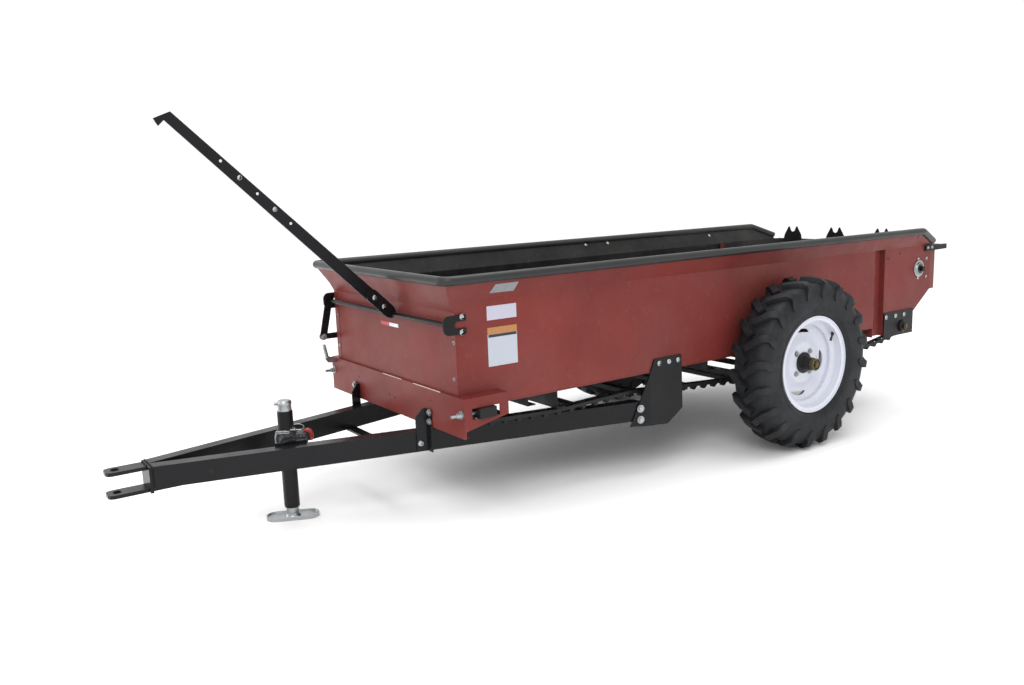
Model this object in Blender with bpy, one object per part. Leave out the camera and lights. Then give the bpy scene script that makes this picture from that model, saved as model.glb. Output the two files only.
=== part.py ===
"""Towed box spreader with a ground-driven beater, an apron conveyor, a hand lever and a swivel jack.

Metres, +Z up. The drawbar points along -Y and +X is the machine's left. The mesh of each fixed piece
is laid out from the point on the ground under the axle; the empty "spreader" then moves that point
along Y, so that the origin is at the bottom centre of the whole machine.
"""

import math

import bmesh
import bpy
from mathutils import Matrix, Vector

GAP = 0.0003            # between pieces that touch

# Overall sizes
HITCH_REACH = 2.696     # from the axle forward to the tip of the hitch
TAIL_REACH = 1.294      # from the axle back to the tail of the spreading bar's brackets
TRACK = 1.230           # between the middles of the tyres
BOX_WIDTH = 0.982       # over the side panels
BOX_FRONT = -1.646      # outer face of the front panel
BOX_REAR = 1.212        # rear edge of the rear side panels
SHEET = 0.003           # side and front panels

# Wheels
TYRE_R = 0.370
TYRE_W = 0.182
RIM_R = 0.208           # over the rim's flange
RIM_SEAT_R = 0.190      # where the tyre's bead sits
RIM_W = 0.150
DISC_OUT = 0.012        # from the tyre's middle out to the disc's outer face
HUB_R = 0.031
HUB_FLANGE_R = 0.046
HUB_OUT = 0.071         # from the tyre's middle out to the hub's end
HUB_IN = 0.055          # from the tyre's middle in to the hub's inner end
SPINDLE_R = 0.019
BORE_CLEARANCE = 0.0006

# Box
PANEL_BOTTOM = 0.4185
FOLD_Z = 0.792          # where the side panels flare out
FRONT_FOLD_Z = 0.755
RAIL_X = 0.539          # middle of the rolled rail on the side panels' edge
RAIL_Z = 0.868
RAIL_Y = -1.707         # middle of the rail across the front
RAIL_R = 0.0165
RAIL_END = 1.013        # where the rail turns down at the rear
RAIL_DROP = (1.162, 0.8120)
SEAM_Z = 0.467          # top of the lower front plate
POST_FRONT = 0.700
POST_REAR = 0.777
POST_DEPTH = 0.026
POST_BOTTOM = 0.372
REAR_BEND = 1.165       # where the rear side panels fold in
REAR_TUCK = 0.006

# Lower front plate
LOWER_HALF = 0.541
LOWER_FRONT = -1.656
LOWER_BOTTOM = 0.327
LOWER_T = 0.004
LUG_REAR = -1.476
LUG_LOW = (0.352, 0.390)
SLOT = (-1.625, -1.512, 0.392, 0.430)

# Floor, apron and the members under them
SHAFT_Z = 0.405
FRONT_SHAFT = -1.568
REAR_SHAFT = 0.929
CHAIN_R = 0.055         # from a shaft to the middle of the chain
CHAIN_T = 0.014
CHAIN_W = 0.040
CHAIN_X = 0.430
SLAT_H = 0.020
SLAT_W = 0.032
SLAT_STEP = 0.300
SHAFT_R = 0.0125
SPROCKET_R = (CHAIN_R - CHAIN_T / 2) * math.cos(math.radians(11.25)) - 2 * GAP
RETURN_PATH = ((-1.200, 0.331), (-0.840, 0.343), (-0.030, 0.2885), (0.770, 0.327))
FLOOR_T = 0.019
FLOOR_FRONT = -1.495
FLOOR_REAR = 0.855
MEMBERS = {
    "crossmember_front": (-1.358, -1.322, 0.383),
    "crossmember_second": (-1.226, -1.186, 0.352),
    "crossmember_middle": (-0.440, -0.390, 0.380),
    "crossmember_rear": (0.700, 0.774, 0.372),
}
AXLE_SIDE = 0.050
RETURN_BAR = (-0.052, -0.010, 0.248, 0.281)
HANGER_T = 0.008

# Drawbar
BEAM_W = 0.051
BEAM_H = 0.076
BEAM_Z = 0.230
NOSE_Y = -2.560
NOSE_HALF = 0.0535
BEAM_REAR = -0.800
PLATE_T = 0.006
PLATE_BEND = -0.770
PLATE = ((-0.745, 0.470), (-0.597, 0.471), (-0.592, 0.251), (-0.676, 0.197), (-0.856, 0.211))
NOSE_T = 0.010
LUG_HALF = 0.034
LUG_T = 0.0125
LUG_UP_Z = 0.2935
LUG_DOWN_BACK = -2.420
PIN_R = 0.011
PIN_BACK = 0.032
BRACE_Y = -1.750
BRACE_W = 0.040
BRACE_T = 0.008
STRAP_LEG = 0.042
STRAP_OUT = 0.062
STRAP_T = 0.006
STRAP_Z = (0.212, 0.420)

# Hand lever and its linkage on the right-hand side
ROD_Y = -1.668
ROD_Z = 0.714
ROD_R = 0.0085
ROD_CLEARANCE = 0.0006
LEVER_T = 0.008
LEVER_W = 0.046
LEVER_X = 0.067
LEVER_END_R = 0.0155
LEVER_BEND = (-2.4020, 1.4255)
LEVER_TIP = (-2.4430, 1.4030)
BRACKET_L = 0.112
CRANK = (-0.035, -0.152)
CRANK_W = 0.030
CRANK_T = 0.006
LINK_W = 0.024
LINK_T = 0.005
CLUTCH_Y = -0.160
JOINT_PIN_R = 0.006
STOP_ROOT = 0.457       # height of the crank's stop on the lower front plate
STOP_ELBOW = (-1.693, 0.470)
STOP_TIP = (-1.7045, 0.528)
FORK_T = 0.006

# Bearings, beater and spreading bar at the rear
BEATER_Y = 1.063
BEATER_Z = 0.678
BEATER_R = 0.195
BEATER_TUBE_R = 0.030
BEATER_SHAFT_R = 0.0125
PADDLES = 7
PADDLE_STEP = 0.140
PADDLE_W = 0.100
PADDLE_T = 0.006
BEARING_PLATE = (0.7785, 1.020, 0.362, 0.482)
BEARING_PLATE_T = 0.006
GUARD_W = 0.170
GUARD_T = 0.022
TAIL_BAR_R = 0.011
TAIL_BRACKET = (1.108, 1.200, 0.762, 0.7895)

# Jack
JACK_Y = -2.080
JACK_PIVOT_Z = 0.290
JACK_R = 0.0275
JACK_TOP = 0.418
JACK_BOTTOM = 0.043
JACK_CAP_TOP = 0.441
LEG_R = 0.022
LEG_CLEARANCE = 0.0010
FOOT_L = 0.190
FOOT_W = 0.086
FOOT_T = 0.016
SOCKET_R = 0.030
COLLAR_R = 0.036

HALF = BOX_WIDTH / 2
TYRE_X = TRACK / 2
AXLE_Y = (HITCH_REACH - TAIL_REACH) / 2
FLOOR_TOP = SHAFT_Z + CHAIN_R - CHAIN_T / 2 - 2 * GAP
FLOOR_BOTTOM = FLOOR_TOP - FLOOR_T
PLATE_X = HALF + GAP + PLATE_T
BEAM_OUT_X = PLATE_X - PLATE_T - GAP
BEAM_ANGLE = math.atan2(BEAM_OUT_X - NOSE_HALF, PLATE_BEND - NOSE_Y)
BEAM_SPAN = BEAM_W / math.cos(BEAM_ANGLE)


def clear_scene():
    for obj in list(bpy.data.objects):
        bpy.data.objects.remove(obj, do_unlink=True)


def material(name, colour, roughness, metallic=0.0):
    made = bpy.data.materials.get(name)
    if made:
        return made
    made = bpy.data.materials.new(name)
    made.use_nodes = True
    shader = made.node_tree.nodes["Principled BSDF"]
    shader.inputs["Base Color"].default_value = (*colour, 1)
    shader.inputs["Roughness"].default_value = roughness
    shader.inputs["Metallic"].default_value = metallic
    return made


def red_paint():
    return material("red_paint", (0.25, 0.045, 0.035), 0.4)


def black_paint():
    return material("black_paint", (0.015, 0.015, 0.017), 0.4)


def white_paint():
    return material("white_paint", (0.85, 0.85, 0.87), 0.35)


def tyre_rubber():
    return material("tyre_rubber", (0.03, 0.03, 0.032), 0.8)


def zinc():
    return material("zinc", (0.6, 0.62, 0.64), 0.35, 1.0)


def dark_steel():
    return material("dark_steel", (0.07, 0.07, 0.075), 0.45, 0.6)


def cast_grey():
    return material("cast_grey", (0.13, 0.13, 0.14), 0.55, 0.3)


def empty(name, place, parent=None, turn=0.0):
    made = bpy.data.objects.new(name, None)
    bpy.context.scene.collection.objects.link(made)
    made.location = place
    made.rotation_euler.z = turn
    made.parent = parent
    return made


def add(name, bm, paint, parent, smooth=False):
    """An object from a bmesh, under its parent, with its normals pointing out."""
    bmesh.ops.recalc_face_normals(bm, faces=bm.faces)
    mesh = bpy.data.meshes.new(name)
    bm.to_mesh(mesh)
    bm.free()
    if smooth:
        mesh.shade_smooth()
        mesh.set_sharp_from_angle(angle=math.radians(35))
    if paint:
        mesh.materials.append(paint)
    made = bpy.data.objects.new(name, mesh)
    made.parent = parent
    bpy.context.scene.collection.objects.link(made)
    return made


def combine(target, operation, bm):
    """Joins or cuts the target by the shape in bm, with a Boolean whose tool stays hidden."""
    tool = add(target.name + "-tool", bm, None, target.parent)
    tool.hide_render = True
    tool.display_type = "WIRE"
    boolean = target.modifiers.new(operation.lower(), "BOOLEAN")
    boolean.operation = operation
    boolean.solver = "EXACT"
    boolean.object = tool
    return target


def box_shape(low, high):
    bm = bmesh.new()
    middle = (Vector(low) + Vector(high)) / 2
    size = Vector(high) - Vector(low)
    bmesh.ops.create_cube(bm, size=1, matrix=Matrix.LocRotScale(middle, None, size))
    return bm


def side_box(side, x, y, z):
    """A box whose x range is given for the left side; side -1 puts it on the right."""
    low, high = sorted((side * x[0], side * x[1]))
    return box_shape((low, y[0], z[0]), (high, y[1], z[1]))


def prism(outline, start, end, axis):
    """A closed outline extruded along an axis. The outline's two coordinates are the other axes in order."""
    bm = bmesh.new()
    order = {"X": (2, 0, 1), "Y": (0, 2, 1), "Z": (0, 1, 2)}[axis]
    corners = [bm.verts.new([(*point, start)[i] for i in order]) for point in outline]
    face = bm.faces.new(corners)
    grown = bmesh.ops.extrude_face_region(bm, geom=[face])
    moved = [item for item in grown["geom"] if isinstance(item, bmesh.types.BMVert)]
    step = Vector([end - start if name == axis else 0 for name in "XYZ"])
    bmesh.ops.translate(bm, vec=step, verts=moved)
    return bm


def rod_shape(start, end, radius, segments=20):
    """A round bar between two points."""
    bm = bmesh.new()
    start, end = Vector(start), Vector(end)
    along = end - start
    turn = along.to_track_quat("Z", "Y").to_matrix().to_4x4()
    place = Matrix.Translation((start + end) / 2) @ turn
    bmesh.ops.create_cone(bm, cap_ends=True, segments=segments, radius1=radius, radius2=radius,
                          depth=along.length, matrix=place)
    return bm


def turned(profile, steps=48):
    """A closed profile of (x, radius) points spun about the X axis."""
    bm = bmesh.new()
    corners = [bm.verts.new((x, 0, radius)) for x, radius in profile]
    edges = [bm.edges.new(pair) for pair in zip(corners, corners[1:] + corners[:1])]
    bmesh.ops.spin(bm, geom=corners + edges, cent=(0, 0, 0), axis=(1, 0, 0),
                   angle=2 * math.pi, steps=steps, use_merge=True)
    bmesh.ops.remove_doubles(bm, verts=bm.verts, dist=1e-5)
    bmesh.ops.dissolve_degenerate(bm, edges=bm.edges, dist=1e-6)
    return bm


def sheet(name, faces, outside, thickness, paint, parent, side=1):
    """Folded sheet metal: polygons of the outer surface, thickened inwards. Side -1 mirrors it in X.

    The first polygon's outer face looks towards the direction outside.
    """
    bm = bmesh.new()
    corners = {}
    for face in faces:
        points = [(side * x, y, z) for x, y, z in face]
        keys = [tuple(round(value, 5) for value in point) for point in points]
        for key, point in zip(keys, points):
            if key not in corners:
                corners[key] = bm.verts.new(point)
        bm.faces.new([corners[key] for key in keys])
    bm.faces.ensure_lookup_table()
    bmesh.ops.recalc_face_normals(bm, faces=bm.faces)
    bm.normal_update()
    outward = Vector((side * outside[0], outside[1], outside[2]))
    if bm.faces[0].normal.dot(outward) < 0:
        bmesh.ops.reverse_faces(bm, faces=bm.faces)
    mesh = bpy.data.meshes.new(name)
    bm.to_mesh(mesh)
    bm.free()
    mesh.materials.append(paint)
    made = bpy.data.objects.new(name, mesh)
    made.parent = parent
    bpy.context.scene.collection.objects.link(made)
    solid = made.modifiers.new("thickness", "SOLIDIFY")
    solid.thickness = thickness
    solid.offset = -1
    solid.use_even_offset = True
    return made


def flare_edge(side_x, side_z, inset):
    """A point on the flare, this far short of the middle of its rail."""
    along = Vector((RAIL_X - side_x, RAIL_Z - side_z))
    point = Vector((side_x, side_z)) + along * (1 - inset / along.length)
    return point.x, point.y


def seam(z):
    """Where the planes of the side flare and the front flare meet at a height."""
    rise = max(0.0, (z - FOLD_Z) / (RAIL_Z - FOLD_Z))
    lean = (z - FRONT_FOLD_Z) / (RAIL_Z - FRONT_FOLD_Z)
    return HALF + rise * (RAIL_X - HALF), BOX_FRONT + lean * (RAIL_Y - BOX_FRONT)


def side_name(base, side):
    return base + ("_left" if side > 0 else "_right")


def side_panels(root):
    """The long side panels, flared above the fold."""
    front = BOX_FRONT + SHEET + GAP
    rear = POST_FRONT - GAP
    top_x, top_z = flare_edge(HALF, FOLD_Z, RAIL_R + GAP)
    behind = SHEET * 1.3 + 2 * GAP
    for side in (1, -1):
        corner = (HALF, seam(FOLD_Z)[1] + behind, FOLD_Z)
        wall = [(HALF, front, PANEL_BOTTOM), (HALF, rear, PANEL_BOTTOM), (HALF, rear, FOLD_Z),
                corner, (HALF, BOX_FRONT + behind, FRONT_FOLD_Z), (HALF, front, FRONT_FOLD_Z - 0.006)]
        flare = [corner, (HALF, rear, FOLD_Z), (top_x, rear, top_z), (top_x, seam(top_z)[1] + behind, top_z)]
        sheet(side_name("side_panel", side), [wall, flare], (1, 0, 0), SHEET, red_paint(), root, side)


def rear_side_panels(root):
    """The rear side panels: a post like a channel at the front, a flare, and a rear edge folded in."""
    top_x, top_z = flare_edge(HALF, FOLD_Z, RAIL_R + GAP)
    tuck_x = HALF - REAR_TUCK
    web_x = HALF - POST_DEPTH
    mouth = POST_REAR
    low = PANEL_BOTTOM + 0.012
    diagonal = ((1.026, 0.464), (REAR_BEND, 0.567))
    for side in (1, -1):
        edge_x = HALF - SHEET - GAP
        post_flange = [(web_x, POST_FRONT, POST_BOTTOM), (edge_x, POST_FRONT, POST_BOTTOM),
                       (edge_x, POST_FRONT, FOLD_Z), (web_x, POST_FRONT, FOLD_Z)]
        post_web = [(web_x, mouth, POST_BOTTOM), (web_x, POST_FRONT, POST_BOTTOM),
                    (web_x, POST_FRONT, FOLD_Z), (web_x, mouth, FOLD_Z)]
        post_rear = [(HALF, mouth, POST_BOTTOM), (web_x, mouth, POST_BOTTOM), (web_x, mouth, FOLD_Z),
                     (HALF, mouth, FOLD_Z), (HALF, mouth, low)]
        wall = [(HALF, mouth, low), (HALF, 0.995, low), (HALF, *diagonal[0]), (HALF, *diagonal[1]),
                (HALF, REAR_BEND, FOLD_Z), (HALF, mouth, FOLD_Z)]
        tuck = [(HALF, *diagonal[1]), (tuck_x, BOX_REAR, diagonal[1][1]), (tuck_x, BOX_REAR, FOLD_Z),
                (HALF, REAR_BEND, FOLD_Z)]
        cap = [(web_x, POST_FRONT, FOLD_Z), (edge_x, POST_FRONT, FOLD_Z), (HALF, POST_FRONT, FOLD_Z),
               (HALF, mouth, FOLD_Z), (web_x, mouth, FOLD_Z)]
        flare = [(HALF, POST_FRONT, FOLD_Z), (HALF, mouth, FOLD_Z), (HALF, REAR_BEND, FOLD_Z),
                 (top_x, RAIL_END - 0.012, top_z), (top_x, POST_FRONT, top_z)]
        faces = [wall, post_rear, post_web, post_flange, cap, tuck, flare]
        sheet(side_name("rear_side_panel", side), faces, (1, 0, 0), SHEET, red_paint(), root, side)


def front_panel(root):
    """The front panel, flared forwards above its fold as far as the seams with the side flares."""
    reach = 1 - (RAIL_R + GAP) / math.hypot(RAIL_Y - BOX_FRONT, RAIL_Z - FRONT_FOLD_Z)
    top_y = BOX_FRONT + (RAIL_Y - BOX_FRONT) * reach
    top_z = FRONT_FOLD_Z + (RAIL_Z - FRONT_FOLD_Z) * reach
    half = HALF - GAP
    wall = [(-half, BOX_FRONT, SEAM_Z + GAP), (half, BOX_FRONT, SEAM_Z + GAP),
            (half, BOX_FRONT, FRONT_FOLD_Z), (-half, BOX_FRONT, FRONT_FOLD_Z)]
    knee = seam(FOLD_Z)[1]
    wide = seam(top_z)[0] - 2 * GAP
    flare = [(-half, BOX_FRONT, FRONT_FOLD_Z), (half, BOX_FRONT, FRONT_FOLD_Z), (half, knee, FOLD_Z),
             (wide, top_y, top_z), (-wide, top_y, top_z), (-half, knee, FOLD_Z)]
    return sheet("front_panel", [wall, flare], (0, -1, 0), SHEET, red_paint(), root)


def lower_front_plate(root):
    """The wider plate below the front panel, with a lip underneath and a slotted lug at each end."""
    x = LOWER_HALF
    y = LOWER_FRONT
    wall = [(-x, y, LOWER_BOTTOM), (x, y, LOWER_BOTTOM), (x, y, LUG_LOW[0]), (x, y, SEAM_Z),
            (-x, y, SEAM_Z), (-x, y, LUG_LOW[0])]
    lip = [(-x, y, LOWER_BOTTOM), (-x + 0.02, y + 0.028, LOWER_BOTTOM), (x - 0.02, y + 0.028, LOWER_BOTTOM),
           (x, y, LOWER_BOTTOM)]
    faces = [wall, lip]
    for side in (1, -1):
        lug = [(side * x, y, LUG_LOW[0]), (side * x, LUG_REAR, LUG_LOW[1]), (side * x, LUG_REAR, SEAM_Z),
               (side * x, y, SEAM_Z)]
        shelf = [(side * x, y, SEAM_Z), (side * x, LUG_REAR, SEAM_Z), (side * (HALF + GAP), LUG_REAR, SEAM_Z),
                 (side * (HALF + GAP), BOX_FRONT + SHEET, SEAM_Z)]
        faces += [face if side > 0 else face[::-1] for face in (lug, shelf)]
    seat = [(x, y, SEAM_Z), (HALF + GAP, BOX_FRONT + SHEET, SEAM_Z), (-HALF - GAP, BOX_FRONT + SHEET, SEAM_Z),
            (-x, y, SEAM_Z)]
    faces.append(seat)
    plate = sheet("lower_front_plate", faces, (0, -1, 0), LOWER_T, red_paint(), root)
    reach = LOWER_HALF + 0.02
    return combine(plate, "DIFFERENCE", box_shape((-reach, SLOT[0], SLOT[2]), (reach, SLOT[1], SLOT[3])))


def floor(root):
    half = HALF - SHEET - 2 * GAP
    narrow = half - POST_DEPTH
    step = POST_FRONT - SHEET - GAP
    outline = [(half, FLOOR_FRONT), (half, step), (narrow, step), (narrow, FLOOR_REAR)]
    outline += [(-x, y) for x, y in reversed(outline)]
    add("floor", prism(outline, FLOOR_BOTTOM, FLOOR_TOP, "Z"),
        material("floor_board", (0.02, 0.02, 0.02), 0.7), root)


def rails(root):
    """The rolled rail round the box, open at the rear, in three pieces mitred at the front corners."""
    for side in (1, -1):
        curve = bpy.data.curves.new(side_name("rail_path", side), "CURVE")
        curve.dimensions = "3D"
        line = curve.splines.new("POLY")
        start = RAIL_Y + RAIL_R + GAP
        points = [(RAIL_X, start, RAIL_Z), (RAIL_X, RAIL_END - 0.010, RAIL_Z),
                  (RAIL_X - 0.003, RAIL_END + 0.012, RAIL_Z - 0.004), (HALF + 0.0095, *RAIL_DROP)]
        line.points.add(len(points) - 1)
        for point, place in zip(line.points, points):
            point.co = (side * place[0], place[1], place[2], 1)
        curve.bevel_depth = RAIL_R
        curve.bevel_resolution = 3
        curve.use_fill_caps = True
        rail = bpy.data.objects.new(side_name("rim_rail", side), curve)
        rail.parent = root
        curve.materials.append(dark_steel())
        bpy.context.scene.collection.objects.link(rail)
    end = RAIL_X + RAIL_R
    add("rim_rail_front", rod_shape((-end, RAIL_Y, RAIL_Z), (end, RAIL_Y, RAIL_Z), RAIL_R, 16),
        dark_steel(), root, smooth=True)


def members(root):
    """The crossmembers between the side panels, under the floor."""
    for name, (front, rear, bottom) in MEMBERS.items():
        half = (HALF - POST_DEPTH if name == "crossmember_rear" else HALF) - SHEET - GAP
        paint = red_paint() if name == "crossmember_rear" else black_paint()
        wall = 0.004
        outline = [(front, bottom), (rear, bottom), (rear, bottom + wall), (front + wall, bottom + wall),
                   (front + wall, FLOOR_BOTTOM - GAP - wall), (rear, FLOOR_BOTTOM - GAP - wall),
                   (rear, FLOOR_BOTTOM - GAP), (front, FLOOR_BOTTOM - GAP)]
        add(name, prism(outline, -half, half, "X"), paint, root)


def axle(root):
    """The axle tube with its spindles, the saddles up to the floor and the bar that carries the chain's return."""
    middle = TYRE_R
    half = HALF + 0.004
    body = add("axle", box_shape((-half, -AXLE_SIDE / 2, middle - AXLE_SIDE / 2),
                                 (half, AXLE_SIDE / 2, middle + AXLE_SIDE / 2)), black_paint(), root)
    reach = TYRE_X + HUB_OUT - 0.020
    combine(body, "UNION", rod_shape((-reach, 0, middle), (reach, 0, middle), SPINDLE_R, 32))
    inner = HALF - SHEET - GAP - 0.002
    front, rear, low, high = RETURN_BAR
    combine(body, "UNION", box_shape((-inner, front, low), (inner, rear, high)))
    for side in (1, -1):
        combine(body, "UNION", side_box(side, (inner - HANGER_T, inner), (front, AXLE_SIDE / 2 + 0.03),
                                        (low, FLOOR_BOTTOM - GAP)))
    return body


def drawbar(root):
    """Two beams that meet at the nose, the nose plate with the hitch's lugs, and a brace between the beams."""
    slope = math.tan(BEAM_ANGLE)
    out_rear = NOSE_HALF + (BEAM_REAR - NOSE_Y) * slope
    top = BEAM_Z + BEAM_H
    for side in (1, -1):
        plan = [(NOSE_HALF, NOSE_Y), (out_rear, BEAM_REAR), (out_rear - BEAM_SPAN, BEAM_REAR),
                (NOSE_HALF - BEAM_SPAN, NOSE_Y)]
        add(side_name("drawbar_beam", side), prism([(side * x, y) for x, y in plan], BEAM_Z, top, "Z"),
            black_paint(), root)
    hitch(root, top)
    y = BRACE_Y
    inner = NOSE_HALF - BEAM_SPAN + (y - BRACE_W / 2 - NOSE_Y) * slope - 2 * GAP
    wide = inner + BRACE_W * slope
    plan = [(-inner, y - BRACE_W / 2), (inner, y - BRACE_W / 2), (wide, y + BRACE_W / 2),
            (-wide, y + BRACE_W / 2)]
    add("drawbar_brace", prism(plan, BEAM_Z + 0.004, BEAM_Z + 0.004 + BRACE_T, "Z"), black_paint(), root)


def hitch(root, top):
    back = NOSE_Y - GAP
    plate = add("hitch_clevis", box_shape((-NOSE_HALF, back - NOSE_T, BEAM_Z - GAP - LUG_T),
                                          (NOSE_HALF, back, top)), black_paint(), root)
    tip = -HITCH_REACH
    round_off = 0.018
    for low, rear in ((LUG_UP_Z, back - NOSE_T / 2), (BEAM_Z - GAP - LUG_T, LUG_DOWN_BACK)):
        outline = [(-LUG_HALF, rear), (-LUG_HALF, tip + round_off),
                   (-LUG_HALF + round_off * 0.3, tip + round_off * 0.3),
                   (-LUG_HALF + round_off, tip), (LUG_HALF - round_off, tip),
                   (LUG_HALF - round_off * 0.3, tip + round_off * 0.3), (LUG_HALF, tip + round_off),
                   (LUG_HALF, rear)]
        combine(plate, "UNION", prism(outline, low, low + LUG_T, "Z"))
    pin_y = tip + PIN_BACK
    combine(plate, "DIFFERENCE", rod_shape((0, pin_y, BEAM_Z - 0.05), (0, pin_y, top + 0.05), PIN_R, 24))


def hangers(root):
    """Angle straps from the lower front plate down to the beams."""
    slope = math.tan(BEAM_ANGLE)
    rear = LOWER_FRONT - GAP
    front = rear - STRAP_OUT
    for side in (1, -1):
        inner = NOSE_HALF + (rear - NOSE_Y) * slope + 2 * GAP
        fore = NOSE_HALF + (front - NOSE_Y) * slope + 2 * GAP
        plan = [(fore, front), (inner, rear), (inner + STRAP_LEG, rear), (inner + STRAP_LEG, rear - STRAP_T),
                (inner + STRAP_T, rear - STRAP_T), (fore + STRAP_T, front)]
        strap = add(side_name("drawbar_strap", side), prism([(side * x, y) for x, y in plan], *STRAP_Z, "Z"),
                    black_paint(), root)
        corner = [(front - 0.01, STRAP_Z[1] - 0.05), (front + 0.045, STRAP_Z[1] + 0.005),
                  (front - 0.01, STRAP_Z[1] + 0.005)]
        low, high = sorted((side * (fore - 0.02), side * (inner + 0.02)))
        combine(strap, "DIFFERENCE", prism(corner, low, high, "X"))


def side_plates(root):
    """The plates that carry the rear ends of the beams, bent along the beams' outer faces."""
    slope = math.tan(BEAM_ANGLE)
    top_left, top_right, right, bottom, left = PLATE
    share = (PLATE_BEND - left[0]) / (top_left[0] - left[0])
    fore = (PLATE_BEND, left[1] + share * (top_left[1] - left[1]))
    share = (PLATE_BEND - left[0]) / (bottom[0] - left[0])
    under = (PLATE_BEND, left[1] + share * (bottom[1] - left[1]))
    left_x = PLATE_X - (PLATE_BEND - left[0]) * slope
    flat = [under, bottom, right, top_right, top_left, fore]
    for side in (1, -1):
        faces = [[(PLATE_X, y, z) for y, z in flat],
                 [(left_x, *left), (PLATE_X, *under), (PLATE_X, *fore)]]
        sheet(side_name("drawbar_side_plate", side), faces, (1, 0, 0), PLATE_T, black_paint(), root, side)


def bearing_plates(root):
    front, rear, low, high = BEARING_PLATE
    inner = HALF + GAP
    for side in (1, -1):
        add(side_name("shaft_bearing_plate", side),
            side_box(side, (inner, inner + BEARING_PLATE_T), (front, rear), (low, high)), black_paint(), root)


def apron_shafts(root):
    """The shafts at the two ends of the apron, with a chain wheel at each chain."""
    block = (-1.602, -1.534, SHAFT_Z - 0.012, SHAFT_Z + 0.0235)
    for name, y, reach in (("apron_front_shaft", FRONT_SHAFT, LOWER_HALF - 0.010),
                           ("apron_rear_shaft", REAR_SHAFT, HALF + BEARING_PLATE_T + 0.022)):
        shaft = add(name, rod_shape((-reach, y, SHAFT_Z), (reach, y, SHAFT_Z), SHAFT_R), dark_steel(), root, True)
        for side in (1, -1):
            x = side * CHAIN_X
            combine(shaft, "UNION", rod_shape((x - 0.008, y, SHAFT_Z), (x + 0.008, y, SHAFT_Z), SPROCKET_R, 20))
            if name == "apron_front_shaft":
                combine(shaft, "UNION", side_box(side, (LOWER_HALF - 0.045, LOWER_HALF + 0.014), block[:2],
                                                 (block[2], block[3])))


def chain_loop():
    """The middle line of the chain, as (y, z) points all the way round."""
    points = []
    for step in range(9):
        angle = math.radians(90 + 22.5 * step)
        points.append((FRONT_SHAFT + CHAIN_R * math.cos(angle), SHAFT_Z + CHAIN_R * math.sin(angle)))
    points += RETURN_PATH
    for step in range(9):
        angle = math.radians(-90 + 22.5 * step)
        points.append((REAR_SHAFT + CHAIN_R * math.cos(angle), SHAFT_Z + CHAIN_R * math.sin(angle)))
    return points


def offset_loop(points, distance):
    """A loop of (y, z) points moved outwards by a distance."""
    moved = []
    count = len(points)
    for i, point in enumerate(points):
        before = Vector(points[i - 1])
        after = Vector(points[(i + 1) % count])
        here = Vector(point)
        first = (here - before).normalized()
        second = (after - here).normalized()
        normal = Vector((first.y + second.y, -first.x - second.x)).normalized()
        stretch = 1 / max(0.5, normal.dot(Vector((first.y, -first.x))))
        moved.append(tuple(here + normal * distance * stretch))
    return moved


def apron(root):
    """Two chains round the shafts, joined by slats on the upper and on the return run."""
    loop = chain_loop()
    outer = offset_loop(loop, CHAIN_T / 2)
    inner = offset_loop(loop, -CHAIN_T / 2)
    body = None
    for side in (1, -1):
        bm = bmesh.new()
        low, high = side * CHAIN_X - CHAIN_W / 2, side * CHAIN_X + CHAIN_W / 2
        rings = [[bm.verts.new((x, y, z)) for y, z in ring] for x, ring in
                 ((low, outer), (high, outer), (high, inner), (low, inner))]
        count = len(loop)
        for ring, following in zip(rings, rings[1:] + rings[:1]):
            for i in range(count):
                j = (i + 1) % count
                bm.faces.new((ring[i], ring[j], following[j], following[i]))
        if body is None:
            body = add("apron_chain", bm, dark_steel(), root)
        else:
            combine(body, "UNION", bm)
    top = SHAFT_Z + CHAIN_R
    reach = CHAIN_X + 0.010
    y = FRONT_SHAFT + 0.10
    while y < REAR_SHAFT - 0.08:
        combine(body, "UNION", box_shape((-reach, y, top - CHAIN_T / 2 + 0.002),
                                         (reach, y + SLAT_W, top + SLAT_H)))
        y += SLAT_STEP
    for y in return_slats():
        z = return_height(y + SLAT_W / 2)
        combine(body, "UNION", box_shape((-reach, y, z - SLAT_H), (reach, y + SLAT_W, z + CHAIN_T / 2 - 0.002)))
    return body


def return_height(y):
    """The height of the return run at y."""
    path = ((FRONT_SHAFT, SHAFT_Z - CHAIN_R), *RETURN_PATH, (REAR_SHAFT, SHAFT_Z - CHAIN_R))
    for start, end in zip(path, path[1:]):
        if start[0] <= y <= end[0]:
            return start[1] + (y - start[0]) / (end[0] - start[0]) * (end[1] - start[1])
    return SHAFT_Z - CHAIN_R


def return_slats():
    """Where the slats of the return run start, one step apart and clear of the bar that carries it."""
    places = []
    y = FRONT_SHAFT + 0.16
    while y < REAR_SHAFT - 0.10:
        if not RETURN_BAR[0] - 0.02 - SLAT_W < y < RETURN_BAR[1] + 0.02:
            places.append(y)
        y += SLAT_STEP
    return places


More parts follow.
